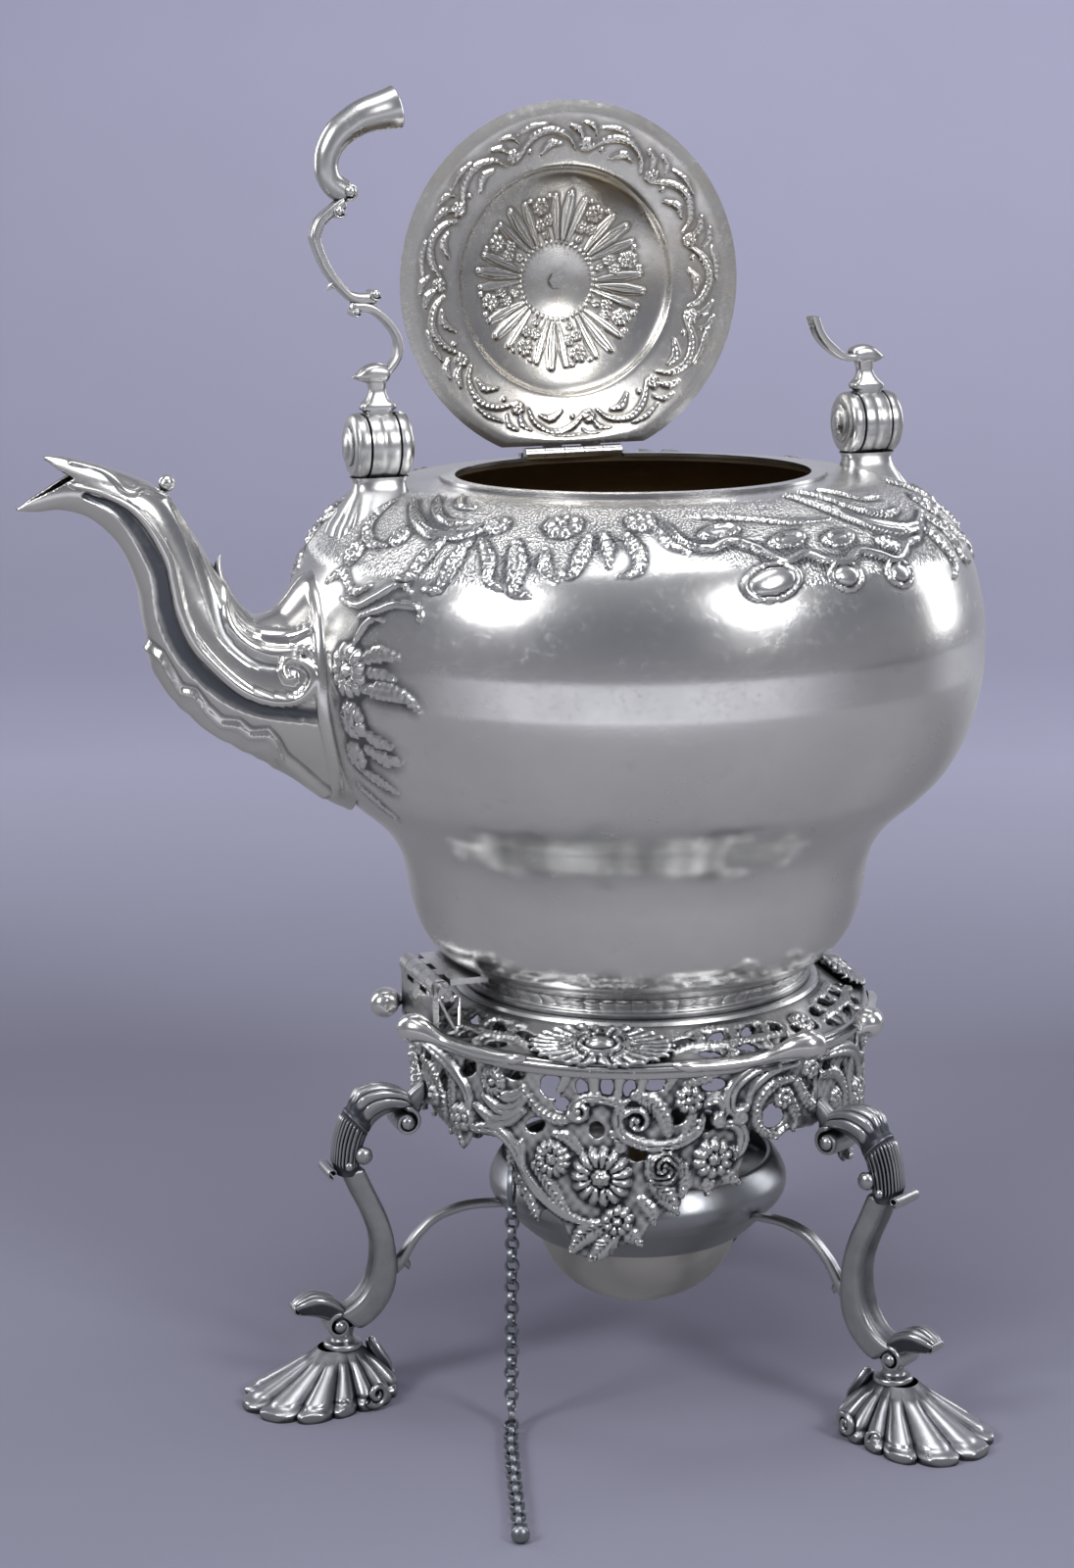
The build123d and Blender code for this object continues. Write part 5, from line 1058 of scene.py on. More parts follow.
plate.height = plate.height[:, ::-1]
cut_sheet("gallery_plate", on_slope, plate, plate_solid[:, ::-1], 1.3, ("gallery_top",), 0.6)
SEAT_LINE = (
    (41, 105.2), (41, 107.2), (47.4, 107.2), (48, 107), (48.5, 106.2), (48.3, 105), (47, 104.7), (41, 105.2),
)
RIM_LINE = (
    (60.9, 99.9), (62, 99.6), (62.3, 98.8), (61.6, 98.2), (60.9, 97.9), (60.7, 97.2), (60.5, 96.4),
    (60, 95.9), (59, 95.9), (58.4, 96.4), (58.4, 98.6), (59.6, 99.5), (60.9, 99.9),
)
RIM = silver("rim", (0.74, 0.74, 0.74, 1), DARK_BLUE, (0.18, 0.28), 0.004, 0.8)
lathe("gallery_seat", SEAT_LINE, CAST, "stand", finish="cast_silver")
lathe("gallery_rim", eased(RIM_LINE, 40), RIM, "stand", finish="cast_silver")

# Double fan with an oval boss above each pendant
FAN_R, FAN_DOWN, FAN_WIDE, FAN_TALL = 59.0, 9.2, 19.8, 7.6
fan = Relief(np.arange(-21.0, 21.1, 0.4)[None, :], np.arange(-8.6, 8.7, 0.4)[:, None])
reach = np.hypot(fan.across / FAN_WIDE, fan.along / FAN_TALL)
about = np.arctan2(fan.along / FAN_TALL, fan.across / FAN_WIDE)
waist = 1 - 0.16 * np.exp(-(fan.across / 4.2) ** 2)
fan_solid = (waist * (0.955 + 0.045 * np.cos(26 * about)) - reach) * 8
ribs = np.abs(np.cos(13 * about)) ** 0.7
fan.height = (0.55 + 0.85 * ribs * np.clip(reach * 1.6, 0, 1)) * np.clip(1.2 - reach * 0.25, 0, 1)
fan.height += 0.5 * np.exp(-((reach - 0.9) / 0.07) ** 2)
fan.height += 0.25 * np.cos(60 * about) * (reach < 0.55)
FAN_STROKES = (
    (((4.8, -5.2), (6.6, -2), (6.4, 2.2), (3.6, 4.6)), (0.6, 1, 1, 0.5), 1.9),
    (((1, 5.2), (3, 7), (5.6, 6.2)), (0.9, 1.2, 0.5), 1.8),
    (((0.8, -4.2), (2.4, -6.2), (4.2, -6)), (0.7, 1.1, 0.5), 1.8),
)
for side in (1, -1):
    for line, width, rise in FAN_STROKES:
        fan.trace([(side * a, b) for a, b in line], width, rise, groove=0.4)
fan.add(ring, (0, 0), wide=5.0, tall=3.1, width=0.7, height=2.1)
fan.add(dome, (0, 0), wide=4.5, tall=2.7, height=2.9, mode="over")


def on_fan(middle):
    def place(across, along, lift):
        curve = 1.5 + lift - 0.010 * np.clip(along, 0, 9) ** 2.4 - 0.002 * across ** 2
        return off_slope(np.radians(middle) - across / FAN_R, FAN_DOWN + along, curve)
    return place


for number, middle in enumerate(SHELLS, 1):
    cut_sheet(f"fan_{number}", on_fan(middle), fan, fan_solid, 1.5, (f"gallery_shell_{number}",), 0.7)

# Rail on each side of a fan, by distance out, angle from the fan and height, ending in a knob
KNOB_PATH = (
    (61.6, 17.5, 100.2, 0.5), (62.4, 20.5, 99.7, 1.5), (62.2, 26, 99.3, 1.35), (62, 32, 99.2, 1.6),
    (62.6, 37, 99.5, 1.35), (63.4, 41, 100.2, 1.5), (64.6, 44, 101.2, 2.3), (66.2, 46.6, 102.2, 3.3),
    (67.2, 48.8, 102.3, 3.9), (67.6, 51.2, 101.6, 3.2), (67.6, 53, 100.8, 0.05),
)


def ring_point(radius, angle, z):
    return (radius * cos(radians(angle)), radius * sin(radians(angle)), z)


for number, middle in enumerate(SHELLS, 1):
    rails = Parts()
    for side in (1, -1):
        path = [ring_point(r, middle + side * a, z) for r, a, z, _ in KNOB_PATH]
        rails.add(tube_points(path, [row[3] for row in KNOB_PATH], 20, 90))
    rails.build(f"rails_{number}", 0, POLISHED, "stand", (f"gallery_scrolls_{number}",), 38)


# Legs, feet and brackets: drawn in one plane by distance out and height, then turned to each leg
def moved_out(pairs, by=APRON_R):
    return [((a[0] + by, a[1]), (b[0] + by, b[1])) for a, b in pairs]


def step_up(u, at, over):
    return np.clip((u - at) / over, 0, 1)


def lobes_then_reeds(u, s):
    """Gadroons over the knee, then a band of fine reeds and a plain lip."""
    about = np.arcsin(np.clip(s, -1, 1)) / pi * 2
    lobe = 1.25 * np.abs(np.sin(2.5 * pi * about)) ** 0.55
    lobe = lobe * np.clip((0.52 - u) / 0.1, 0, 1) * np.clip(u / 0.10, 0.1, 1)
    lobe *= np.sqrt(np.clip(1 - (np.clip(u - 0.36, 0, 1) / 0.18) ** 2, 0, 1))
    reed = 0.75 * np.abs(np.sin(6.5 * pi * about)) * step_up(u, 0.56, 0.04) * np.clip((0.93 - u) / 0.05, 0, 1)
    band = 0.45 * np.exp(-((u - 0.55) / 0.018) ** 2)
    return np.maximum(np.maximum(lobe, reed), band) - 0.55


def leaf_ribs(u, s):
    return 0.5 * np.abs(np.cos(2.5 * pi * s)) * np.clip(u / 0.2, 0, 1) - 0.3


LEG_ANGLES = (180, 300, 60)
ANKLE = APRON_R + 23.5
SHAFT = (
    ((17.4, 64), (23.6, 63.2)), ((14, 56.2), (20.4, 55.4)), ((11.4, 50.1), (17.6, 49.4)),
    ((9.4, 43.3), (15.5, 42.6)), ((8.7, 36), (15.6, 36)), ((9.2, 29.5), (17.2, 30.8)),
    ((11.8, 24.1), (19.8, 27.2)), ((16, 20), (23.4, 24.8)), ((20.4, 17.9), (26.6, 23.6)),
)
KNEE = (
    ((4.4, 77.6), (2.6, 77.4)), ((6.2, 77.4), (4.4, 80.4)), ((8.4, 76.8), (7.8, 82.8)),
    ((10.9, 76), (12.5, 84)), ((13.6, 74.2), (17.8, 82.8)), ((15.6, 71.4), (21.8, 77.8)),
    ((17, 68), (24.1, 71.8)), ((17.8, 64.6), (24.9, 66)), ((18.4, 62), (25, 62.4)),
    ((20.6, 60.6), (25, 61.2)),
)
ANKLE_LEAF = (
    ((23.4, 20.4), (22.4, 23.8)), ((26.8, 21.2), (26, 27.6)), ((29.6, 22.7), (30.8, 29.4)),
    ((33.2, 23.8), (35, 28)), ((35.8, 24), (37.4, 25.8)),
)
STRUT = (((2.6, 74.4), (6, 79)), ((1.4, 77), (3.6, 81.6)), ((-0.8, 79.8), (-0.6, 84.6)))
leg = Parts()
leg.sweep(moved_out(SHAFT), (4, 4, 4.2, 4.2, 4.2, 4.2, 4.2, 4.2, 3.8), share=0.42,
          square=4.0, hollow=0.30, sides=48, count=90)
leg.sweep(moved_out(KNEE), (4, 4.4, 4.4, 4.4, 4.4, 4.4, 4.4, 4.4, 4.6, 4.6),
          square=2.3, crest=lobes_then_reeds, sides=150, count=110)
leg.sweep(moved_out(ANKLE_LEAF), (3.6, 4.2, 4.4, 3.6, 1.8), crest=leaf_ribs, sides=90, count=50)
leg.sweep(moved_out(STRUT), 1.9, sides=20, count=20)
LEG_ROLLS = (
    ((5.8, 74.4), 4.5, 5.2, 1.55, 80, 1), ((26, 62.9), 1.95, 4.9, 1.1, -100, 1),
    ((25.2, 20.6), 4, 4.6, 1.45, 110, -1), ((35.6, 25.6), 1.7, 2.4, 1, 60, -1),
)
for (r, z), *how in LEG_ROLLS:
    leg.roll((APRON_R + r, z), *how)
LEG_BOSSES = ((5.6, 4.8, 74.3, 1.9), (17.6, 4.3, 66.7, 2.4), (25.2, 4.2, 20.6, 1.6), (21.6, 4.4, 64.2, 1.2))
for r, side_at, z, radius in LEG_BOSSES:
    leg.bosses(APRON_R + r, side_at, z, radius, 0.75)

FOOT_TOP, FOOT_ROWS = 13.8, 60
NECK = (
    (2.8, 13.2), (4.9, 13.6), (5.1, 14.3), (4.7, 15.1), (3.3, 15.5), (2.7, 16.6), (3.2, 18.6),
    (3.9, 20),
)
foot = Parts()
around = np.linspace(0, 2 * pi, 280, endpoint=False)[None, :]
levels = np.linspace(0, 1, FOOT_ROWS)[:, None]
toes = np.maximum(np.cos(around), 0) ** 1.4
heights = np.array([0, 2.2, 5.4, 9.6, FOOT_TOP])
soft = np.linspace(0, FOOT_TOP, FOOT_ROWS)
fore, back = (
    np.interp(soft, *eased(np.c_[heights, shares], 80).T)[:, None]
    for shares in ([1, 0.98, 0.74, 0.46, 0.26], [1, 1, 0.92, 0.66, 0.34])
)
share = back + (fore - back) * (1 + np.cos(around)) / 2
scallop = np.abs(np.cos(7 * around))
lobe = scallop ** 0.5
length = (14.4 + 13.6 * toes) * share * (1 - 0.13 * (1 - lobe) * np.clip((0.94 - levels) / 0.3, 0, 1))
drop = np.clip(1 - ((levels - 0.42) / 0.40) ** 2, 0, 1) * np.clip(scallop - 0.45, 0, 1) / 0.55
lip = np.exp(-((levels - 0.13) / 0.05) ** 2) * (0.4 + 0.6 * lobe)
groove = 0.8 * np.exp(-((levels - 0.235) / 0.05) ** 2)
length = np.minimum(length - 0.5 + 0.95 * np.sqrt(drop) - groove + 0.4 * lip, 14.0 + 13.3 * toes)
shell = polar(length, around, FOOT_TOP * levels + 0 * around) + np.array([ANKLE, 0, 0])
foot.add(shell, np.clip(0.12 + 0.9 * np.sqrt(drop) + 0.9 * lip + 0.5 * np.clip(levels - 0.86, 0, 1), 0, 1))
sole = np.linspace(0.02, 1, 4)[:, None] * length[:1]
foot.add(polar(sole, around, 0 * sole) + np.array([ANKLE, 0, 0]), 0.3)
neck = spun(eased(NECK, 40), np.arange(0, 360, 9))
neck[..., 0] += ANKLE
foot.add(neck, 0.9)
for side in (1, -1):
    for where, size, thick in ((112, 3.4, 1.0), (74, 2.2, 0.625)):
        line = curl((0, 0), size, 1.6, 200, side)
        face = radians(where) * side
        middle = np.array([ANKLE + 14.2 * cos(face), 14.2 * sin(face), size + 0.9])
        across_way = np.array([-sin(face), cos(face), 0])
        points = middle + line[:, :1] * across_way + line[:, 1:] * np.array([0, 0, 1.0])
        foot.add(tube_points(points, np.linspace(1.0, 0.6, len(points)) * thick, 12, 60), 0.9)
FOOT_CREST = (
    ((-12.2, 2.4), (-13.2, 3.2)), ((-9.4, 7), (-12.4, 8.2)), ((-7, 11), (-9.8, 12.6)),
    ((-6, 14.2), (-7.8, 15.4)),
)
foot.sweep(moved_out(FOOT_CREST, ANKLE), (1.6, 3.6, 3.0, 0.8),
           sides=60, count=40, square=2.6, crest=leaf_ribs)

BRACKET = (
    ((9.4, 30.6), (9.8, 36.2)), ((7.2, 32.4), (7.8, 37)), ((5.4, 35), (6, 39.4)),
    ((2.1, 40.2), (3.4, 42.6)), ((-3.1, 44.6), (-1.8, 46.8)), ((-9, 46.4), (-7.8, 48.8)),
    ((-14.2, 46.8), (-14.2, 49.2)), ((-22.6, 46.2), (-22.2, 48.7)),
)
bracket = Parts()
bracket.sweep(moved_out(BRACKET), 1.7, sides=24, count=80, square=2.6, hollow=0.15)
thorn = [(APRON_R + r, 0, z) for r, z in ((7, 35.4), (5.4, 33.8), (4.9, 32.2))]
bracket.add(tube_points(thorn, (1.6, 1.1, 0.1), 12, 20), 0.9)
for number, angle in enumerate(LEG_ANGLES, 1):
    leg.build(f"cabriole_{number}", angle, LEG, "stand", (f"leg_{number}",))
    foot.build(f"shell_foot_{number}", angle, LEG, "stand", (f"foot_{number}",))
    bracket.build(f"curved_bracket_{number}", angle, LEG, "stand", (f"bracket_{number}",))


# Swan-neck spout: lower and upper edge of each section (distance out, height) and its half width
SPOUT = (
    ((78.5, 158.2), (84.5, 221), 22), ((84.5, 161.6), (89.5, 217.5), 20.5),
    ((94, 169.2), (95.5, 211), 16.5), ((104.9, 176), (101, 209.8), 14),
    ((113.9, 182.2), (104.8, 213), 12.4), ((121.4, 189.8), (108.3, 217.6), 11.2),
    ((126.8, 199), (111.2, 222.6), 10.2), ((129.2, 210.6), (113.9, 227.6), 9.2),
    ((130.6, 219.8), (117.4, 233.6), 8.4), ((134.2, 228.7), (122.3, 241.2), 7.6),
    ((140.6, 235.4), (130.4, 245.8), 6.8), ((147.8, 238.1), (139.8, 249), 5.6),
    ((154, 238), (146.4, 250.9), 3.8), ((159, 238.5), (151.4, 251.3), 1.2),
)
# Ridges and channels along both flanks, then the outline of the leaf below and of the open beak
RIDGES = (
    (((146.2, 244.5), (139.8, 242.7), (134.5, 240.2), (130.8, 237.4), (127.1, 232.5), (123.6, 225.2),
     (122.4, 218.9), (121.3, 212.5), (118.6, 205.2), (114.1, 199.4), (108.1, 193.6), (102.2, 190.6),
     (96.1, 190.1), (92.2, 192.4), (90.6, 196.4), (92.8, 199.4), (96.1, 200), (97.8, 198.1), (97,
     195.6), (95.2, 196)), (0.4, 1, 1.3, 1.5, 1.5, 1.5, 1.5, 1.3, 1), 1.5),
    (((109.4, 218.1), (109.9, 212.9), (108.9, 208.3), (105.4, 204.3), (100.2, 201.8), (95, 201.8),
     (90.9, 202.4)), (0.7, 1.4, 1.6, 1.5, 0.6), 1.3),
    (((109.6, 215.6), (107.3, 209.9), (102.9, 206.8), (97.4, 205.6), (93.5, 206), (88.9, 208.1)), (0.6,
     1.2, 1.4, 1.3, 0.5), 1.1),
    (((145.6, 249.6), (139.1, 248.2), (136.2, 246.2), (133.4, 242.9), (131, 242.3), (128.6, 243),
     (124.2, 241.3), (120.8, 240.3)), (0.4, 0.9, 1, 1, 0.7), 0.9),
    (((88.2, 219.4), (88.4, 210.2), (89, 199.9), (89, 188), (87.2, 178.5), (83.4, 163.1)), (1.2, 1.5,
     1.6, 1.5, 1.2), 0.9),
)
CHANNELS = (
    (((143, 241.9), (135.2, 237.8), (129.8, 230.6), (126, 222), (124.8, 212), (121.2, 202.6), (115,
     195.2), (108, 190), (99.6, 187.4), (89, 186.2)), (0.8, 1.8, 2.2, 2.3, 2.3, 2.2, 1.6), 1),
    (((121.6, 239), (117.6, 229.6), (114.6, 219), (111.4, 207.6), (105, 200.4), (99, 198.6)), (0.8, 1.4,
     1.6, 1.6, 0.8), 0.6),
)
LEAF_EDGE = (
    (85.1, 164.5), (87.9, 167), (91.8, 170.9), (96.2, 174.9), (98.8, 179.5), (101.2, 182.3),
    (105.1, 182), (108.1, 184.7), (111.9, 185.1), (115.1, 188.4), (118.2, 192.9), (121.2, 193.6),
    (123.3, 197.6), (125.6, 202), (129, 205.4),
)
NOTCH = (
    (145.2, 246.2), (148.4, 248.5), (152, 251.4), (160, 262), (170, 256), (170, 238), (159.6, 238.2),
    (155.4, 241), (151.4, 242.9),
)


def outside(polygon, x, y):
    """Distance outside a closed outline, below 0 inside."""
    corners = np.array(polygon, float)
    away, inside = np.full(x.shape, 1e9), np.zeros(x.shape, bool)
    for a, b in zip(corners, np.roll(corners, -1, 0)):
        away = np.minimum(away, from_line(x, y, a, b))
        if a[1] != b[1]:
            inside ^= ((a[1] > y) != (b[1] > y)) & (x < (y - a[1]) * (b[0] - a[0]) / (b[1] - a[1]) + a[0])
    return np.where(inside, -away, away)


NECK_ROWS, NECK_COLUMNS = 250, 161
rings = eased(np.array([[*low, *high, half] for low, high, half in SPOUT]), NECK_ROWS)
turn = -np.linspace(0, 2 * pi, NECK_COLUMNS)
c, s = np.cos(turn)[None, :], np.sin(turn)[None, :]
middle, up = (rings[:, :2] + rings[:, 2:4]) / 2, (rings[:, 2:4] - rings[:, :2]) / 2
neck_r, neck_z = middle[:, :1] + up[:, :1] * c, middle[:, 1:] + up[:, 1:] * c
neck_t = rings[:, 4:5] * s
skin = np.stack([neck_r, neck_t, neck_z], -1)
sides_only = np.abs(s) ** 0.6 + 0 * neck_r
neck = np.zeros(neck_r.shape)
for line, width, rise in RIDGES:
    neck = np.maximum(neck, stroke(neck_r, neck_z, np.array(line), width, rise) * sides_only)
for line, width, rise in CHANNELS:
    neck = neck - (neck < 0.05) * stroke(neck_r, neck_z, np.array(line), width, rise) * sides_only
inner = np.interp(neck_r, *np.array(LEAF_EDGE).T, left=-1e3, right=-1e3) - neck_z
leaf = np.clip(inner / 1.2, 0, 1)
leaf = leaf * leaf * (3 - 2 * leaf) * (0.75 + 0.22 * np.cos(inner * 1.25))
leaf += 0.5 * np.exp(-((inner - 1.1) / 0.8) ** 2)
beside = neck - 0.45 * np.exp(-((inner + 0.8) / 0.7) ** 2)
neck = np.where(inner > 0, np.maximum(leaf, neck * 0.3), beside)
beyond_body = np.hypot(neck_r, neck_t) - np.interp(neck_z, BODY_LINE[::-1, 1], BODY_LINE[::-1, 0]) + 1.0
solid = np.minimum(outside(NOTCH, neck_r, neck_z) / 0.45, beyond_body)
out_way = grid_normals(skin)
out_way[:, 0] = out_way[:, -1] = (out_way[:, 0] + out_way[:, -1]) / 2
used, cells, slide, _ = cut_cells(solid)
spot = np.clip(np.arange(NECK_ROWS)[:, None] + slide, 0, NECK_ROWS - 1)
row = np.minimum(spot.astype(int), NECK_ROWS - 2)
column = np.arange(NECK_COLUMNS)[None, :] + 0 * row
part = (spot - row)[..., None]
at, outward = ((1 - part) * grid[row, column] + part * grid[row + 1, column] for grid in (skin, out_way))
points = turn_about_z(at + outward * neck[..., None], 180).reshape(-1, 3)
NECK_METAL = silver("neck", (0.80, 0.79, 0.77, 1), (0.05, 0.06, 0.085, 1), (0.13, 0.24), 0.004, 0.9, True)
walled(piece("swan_neck", points[used], cells, NECK_METAL, "kettle", ("spout", "spout_leaf"), sharp=70,
             relief=np.clip(0.55 + neck * 0.7, 0, 1).ravel()[used], ground=np.zeros(len(used))), 0.9)

THUMB = (
    ((106, 207), (102, 209)), ((109.4, 213), (105.6, 214.8)), ((111, 218.6), (108, 219.4)),
    ((110.6, 222.6), (109, 223)), ((109.2, 225.2), (108.8, 225.4)),
)
thumb = Parts()
thumb.sweep(THUMB, (2.0, 2.9, 2.4, 1.4, 0.3), sides=40, count=50, square=2.2, hollow=0.2)
thumb.build("thumb_leaf", 180, CAST, "kettle", ("spout_thumb_leaf",))
knop = Parts()
knop.add(ball((121.7, 0, 243.4), 2.1, rows=20, columns=32), 1.0)
knop.build("knop", 180, POLISHED, "kettle", ("spout_knop",))


# Lid, standing open: drawn shut, in the middle, then turned back on its hinge
HINGE_Y, HINGE_Z = 45.4, 241.05


def opened(points):
    x, y, z = points[..., 0], points[..., 1], points[..., 2]
    return np.stack([x, HINGE_Y + z - HINGE_Z, HINGE_Z - y + HINGE_Y], -1)


LID_R, HINGE_FLAT, TRIM_FROM = 47.9, 43.3, 40
LID_ROWS, LID_COLUMNS = 150, 720
UNDER_LINE = (
    (0.05, 253.3), (5, 253.1), (9.6, 252.4), (16, 251.1), (22, 249.4), (27, 247.4), (29.4, 245.9),
    (30.6, 244.1), (34, 243), (40, 241.5), (43.6, 240.6), (45.6, 240.45), (47.8, 240.5),
)
SPRAY = ((-11, 0.8), (0, 1), (11, 0.8))
LID_FLOWERS = ((22.5, 20.4, 2.5, 7), (18, 15.6, 1.7, 6), (27.5, 16.4, 1.6, 6), (22.5, 12.6, 1.2, 5))
LID_SCROLLS = (
    (((-15, 35.2), (-8, 38.8), (0, 40.4), (8, 38.4), (12, 35.2)), (0.5, 1, 1.1, 0.9, 0.4), 0.8),
    (((-4, 34.6), (1, 36.8), (6, 36.4)), (0.5, 1.2, 0.4), 0.7),
    (((-12, 41.4), (-6, 42.2), (0, 42)), (0.4, 0.8, 0.4), 0.6),
    (((9, 41.2), (13, 39.8), (15, 37.2)), (0.5, 1.1, 0.4), 0.7),
    (((14, 42.2), (18, 41.4), (20, 39.4)), (0.4, 0.9, 0.4), 0.6),
)
line = eased(UNDER_LINE, LID_ROWS)
under_r = line[:, :1]
lid_turns = np.arange(LID_COLUMNS) * 0.5
under = Relief(lid_turns[None, :], under_r, under_r * pi / 180, around=360)
low_face = spun(line, lid_turns)
for k in range(8):
    a = 45 * k + 8
    for lean, size in SPRAY:
        spray = [(a + lean * 0.7, 11.4), (a + lean * 0.9, 16), (a + lean, 20 + 3.2 * size)]
        under.trace(spray, (0.6, 1.3 * size, 1.7 * size, 1.2 * size), 1.2 * size, groove=0.25)
    for turn_by, r, size, petals in LID_FLOWERS:
        under.add(flower, (a + turn_by, r), radius=size, petals=petals, height=0.9, mode="over")
    for turn_by in (15.5, 29.5):
        under.add(dome, (a + turn_by, 22.8), wide=1.0, tall=0.7, height=0.7)
for k in range(44):
    under.add(dome, (k * 360 / 44, 10.4), wide=0.55, tall=0.55, height=0.6)
for k in range(11):
    a = k * 360 / 11
    for scroll, width, rise in LID_SCROLLS:
        under.trace([(a + by, r) for by, r in scroll], width, rise, veins=0.3, notch=0.12, pitch=1.4)
    under.add(flower, (a + 16.4, 36.4), radius=2.0, petals=6, height=0.9, mode="over")
    under.add(dome, (a - 9, 36.0), wide=0.7, tall=0.7, height=0.6)
pressed = low_face + grid_normals(low_face, round_columns=True) * (0.7 * under.height)[..., None]
wall_out = np.interp(under_r, (0, 44, 47.8), (1.1, 1.1, 0.5))[..., None] * np.array([0, 0, 1.0])
both = np.concatenate([pressed, (pressed + wall_out)[::-1]])
limit = np.minimum(LID_R, HINGE_FLAT / np.maximum(np.sin(np.radians(lid_turns)), 0.05))[None, :]
far = np.hypot(both[..., 0], both[..., 1])
cut_back = TRIM_FROM + (far - TRIM_FROM) * (limit - TRIM_FROM) / (LID_R - TRIM_FROM)
both[..., :2] *= (np.where(far > TRIM_FROM, cut_back, far) / far)[..., None]
proud = under.worn(0.4) * (0.75 + 0.25 * np.exp(-((under_r - 47.0) / 0.7) ** 2))
proud = np.concatenate([proud, proud[::-1]])
piece("lid_chased", opened(both), grid_faces(*proud.shape, False, True), LID_UNDER, "lid", ("lid",), sharp=45,
      relief=proud, ground=0 * proud)
FINIAL = (
    (4.7, 253.9), (4.9, 254.9), (4.2, 255.7), (2.4, 256.4), (1.9, 257.6), (2.2, 258.8), (3.9, 260.2),
    (5.1, 261.9), (5.1, 263.4), (4.1, 265.2), (2.4, 266.6), (0.05, 267.3),
)
finial = opened(spun(eased(FINIAL, 60), np.arange(0, 360, 5)))
piece("finial_turned", finial, grid_faces(*finial.shape[:2], False, True), POLISHED, "lid", ("lid_finial",))


# Handle: cheeks, pedestals, and what is left of both arms
PIVOT_R, PIVOT_Z, ARM_Z = 67.8, 250.2, 258.4


def drum(profile, columns=56):
    """Turned about the line through the pivot; profile is distance from it and place along it."""
    profile = np.asarray(profile, float)
    a = np.linspace(0, 2 * pi, columns, endpoint=False)[None, :]
    return np.stack([PIVOT_R + profile[:, 1:] + 0 * a, profile[:, :1] * np.sin(a),
                     PIVOT_Z + profile[:, :1] * np.cos(a)], -1)


def both_ways(profile):
    """A profile and its mirror image, each with its faces outward."""
    return [[(r, side * x) for r, x in profile][::side] for side in (1, -1)]


def at_arm(pairs, lean=0.0):
    return [tuple((PIVOT_R + r - lean * max(z, 0), ARM_Z + z) for r, z in pair) for pair in pairs]


CHEEK = (
    (2.6, 3.95), (7.5, 3.95), (8.1, 4.4), (8.2, 5.4), (7.9, 6.6), (7, 7.3), (5.6, 7.55), (2.6, 7.55),
)
HEAD = (
    (2.5, 3.6), (2.5, 7.4), (4.9, 7.5), (4.9, 8), (4.2, 8.3), (3.6, 8.2), (3, 8.6), (1.6, 9),
    (0.05, 9.08),
)
TONGUE = (
    (2.6, -3.65), (7.6, -3.65), (8.1, -3), (8.2, -1.2), (8, 0), (8.2, 1.2), (8.1, 3), (7.6, 3.65),
    (2.6, 3.65),
)
PEDESTAL = (
    (242.4, 7.4, 4.2, 0), (241.2, 6.6, 4.4, 0), (239.4, 6.9, 5, 0.1), (237, 8, 6.6, 0.6),
    (234, 9.4, 8.8, 1.2), (231, 10.6, 11.2, 2), (228.4, 11.1, 12.4, 2.5),
)
ROOT = (
    ((-3.5, -1.4), (3.5, -1.4)), ((-3.6, 0.3), (3.6, 0.3)), ((-4.4, 0.8), (4.4, 0.8)),
    ((-4.4, 1.9), (4.4, 1.9)), ((-2.8, 3.4), (3, 3.4)), ((-2, 5.4), (2.1, 5.4)),
    ((-2.1, 7.6), (2.4, 7.6)), ((-1.6, 9.4), (1.8, 9.4)),
)
CAP = (
    ((-2.2, 7.2), (-3.5, 9.2)), ((-1.2, 7), (-3, 11.2)), ((0.6, 7), (0.2, 12.2)),
    ((2.6, 7.2), (3, 11.6)), ((4.4, 7.8), (5.2, 9.8)), ((6.1, 8.5), (6.4, 8.8)),
)
SCROLL = (
    ((-1, 7.4), (-0.4, 9.6)), ((-4.5, 10.6), (-2.9, 11.7)), ((-6.5, 14.4), (-4.6, 14.4)),
    ((-6.3, 18.4), (-4.5, 17.8)), ((-3.6, 22.9), (-2.2, 21.4)), ((0.9, 26.8), (1.4, 24.2)),
    ((6.4, 27.6), (6.6, 24.9)),
)
STRAP = (
    ((-0.6, 26.6), (-0.6, 29.4)), ((5.4, 27), (4.9, 29.7)), ((8.6, 29.2), (7.6, 31.3)),
    ((13.2, 34.9), (11.2, 36.2)), ((16, 41.8), (13.4, 41.6)), ((16.1, 44.9), (13.4, 44.1)),
    ((14.4, 48.1), (12, 46.6)), ((9.8, 51.8), (9, 48.8)), ((7.2, 53.6), (6.4, 50)),
)
BRANCH = (
    ((4.8, 54.8), (6.6, 51.4)), ((5.8, 56.6), (7.4, 51.2)), ((6.6, 57.2), (8.4, 51.2)),
    ((8, 58.2), (11.8, 53.4)), ((8.4, 59.2), (13.9, 56.8)), ((8.5, 61), (14.5, 60.4)),
    ((7.6, 63.2), (13.9, 64.9)), ((5.4, 65.4), (11.2, 70)), ((2.2, 67.3), (6.6, 73.9)),
    ((-0.6, 68.2), (2.6, 76.2)), ((-5.2, 68.8), (-2.9, 78.2)), ((-7.7, 68.9), (-5.2, 79.2)),
)
STUB = (
    ((-2, 7.6), (-2, 10.2)), ((-6.8, 8), (-6.4, 10.2)), ((-11.2, 10.4), (-9.4, 12.2)),
    ((-15, 14.4), (-12.6, 15.6)), ((-17.1, 20.1), (-14.5, 20.1)),
)


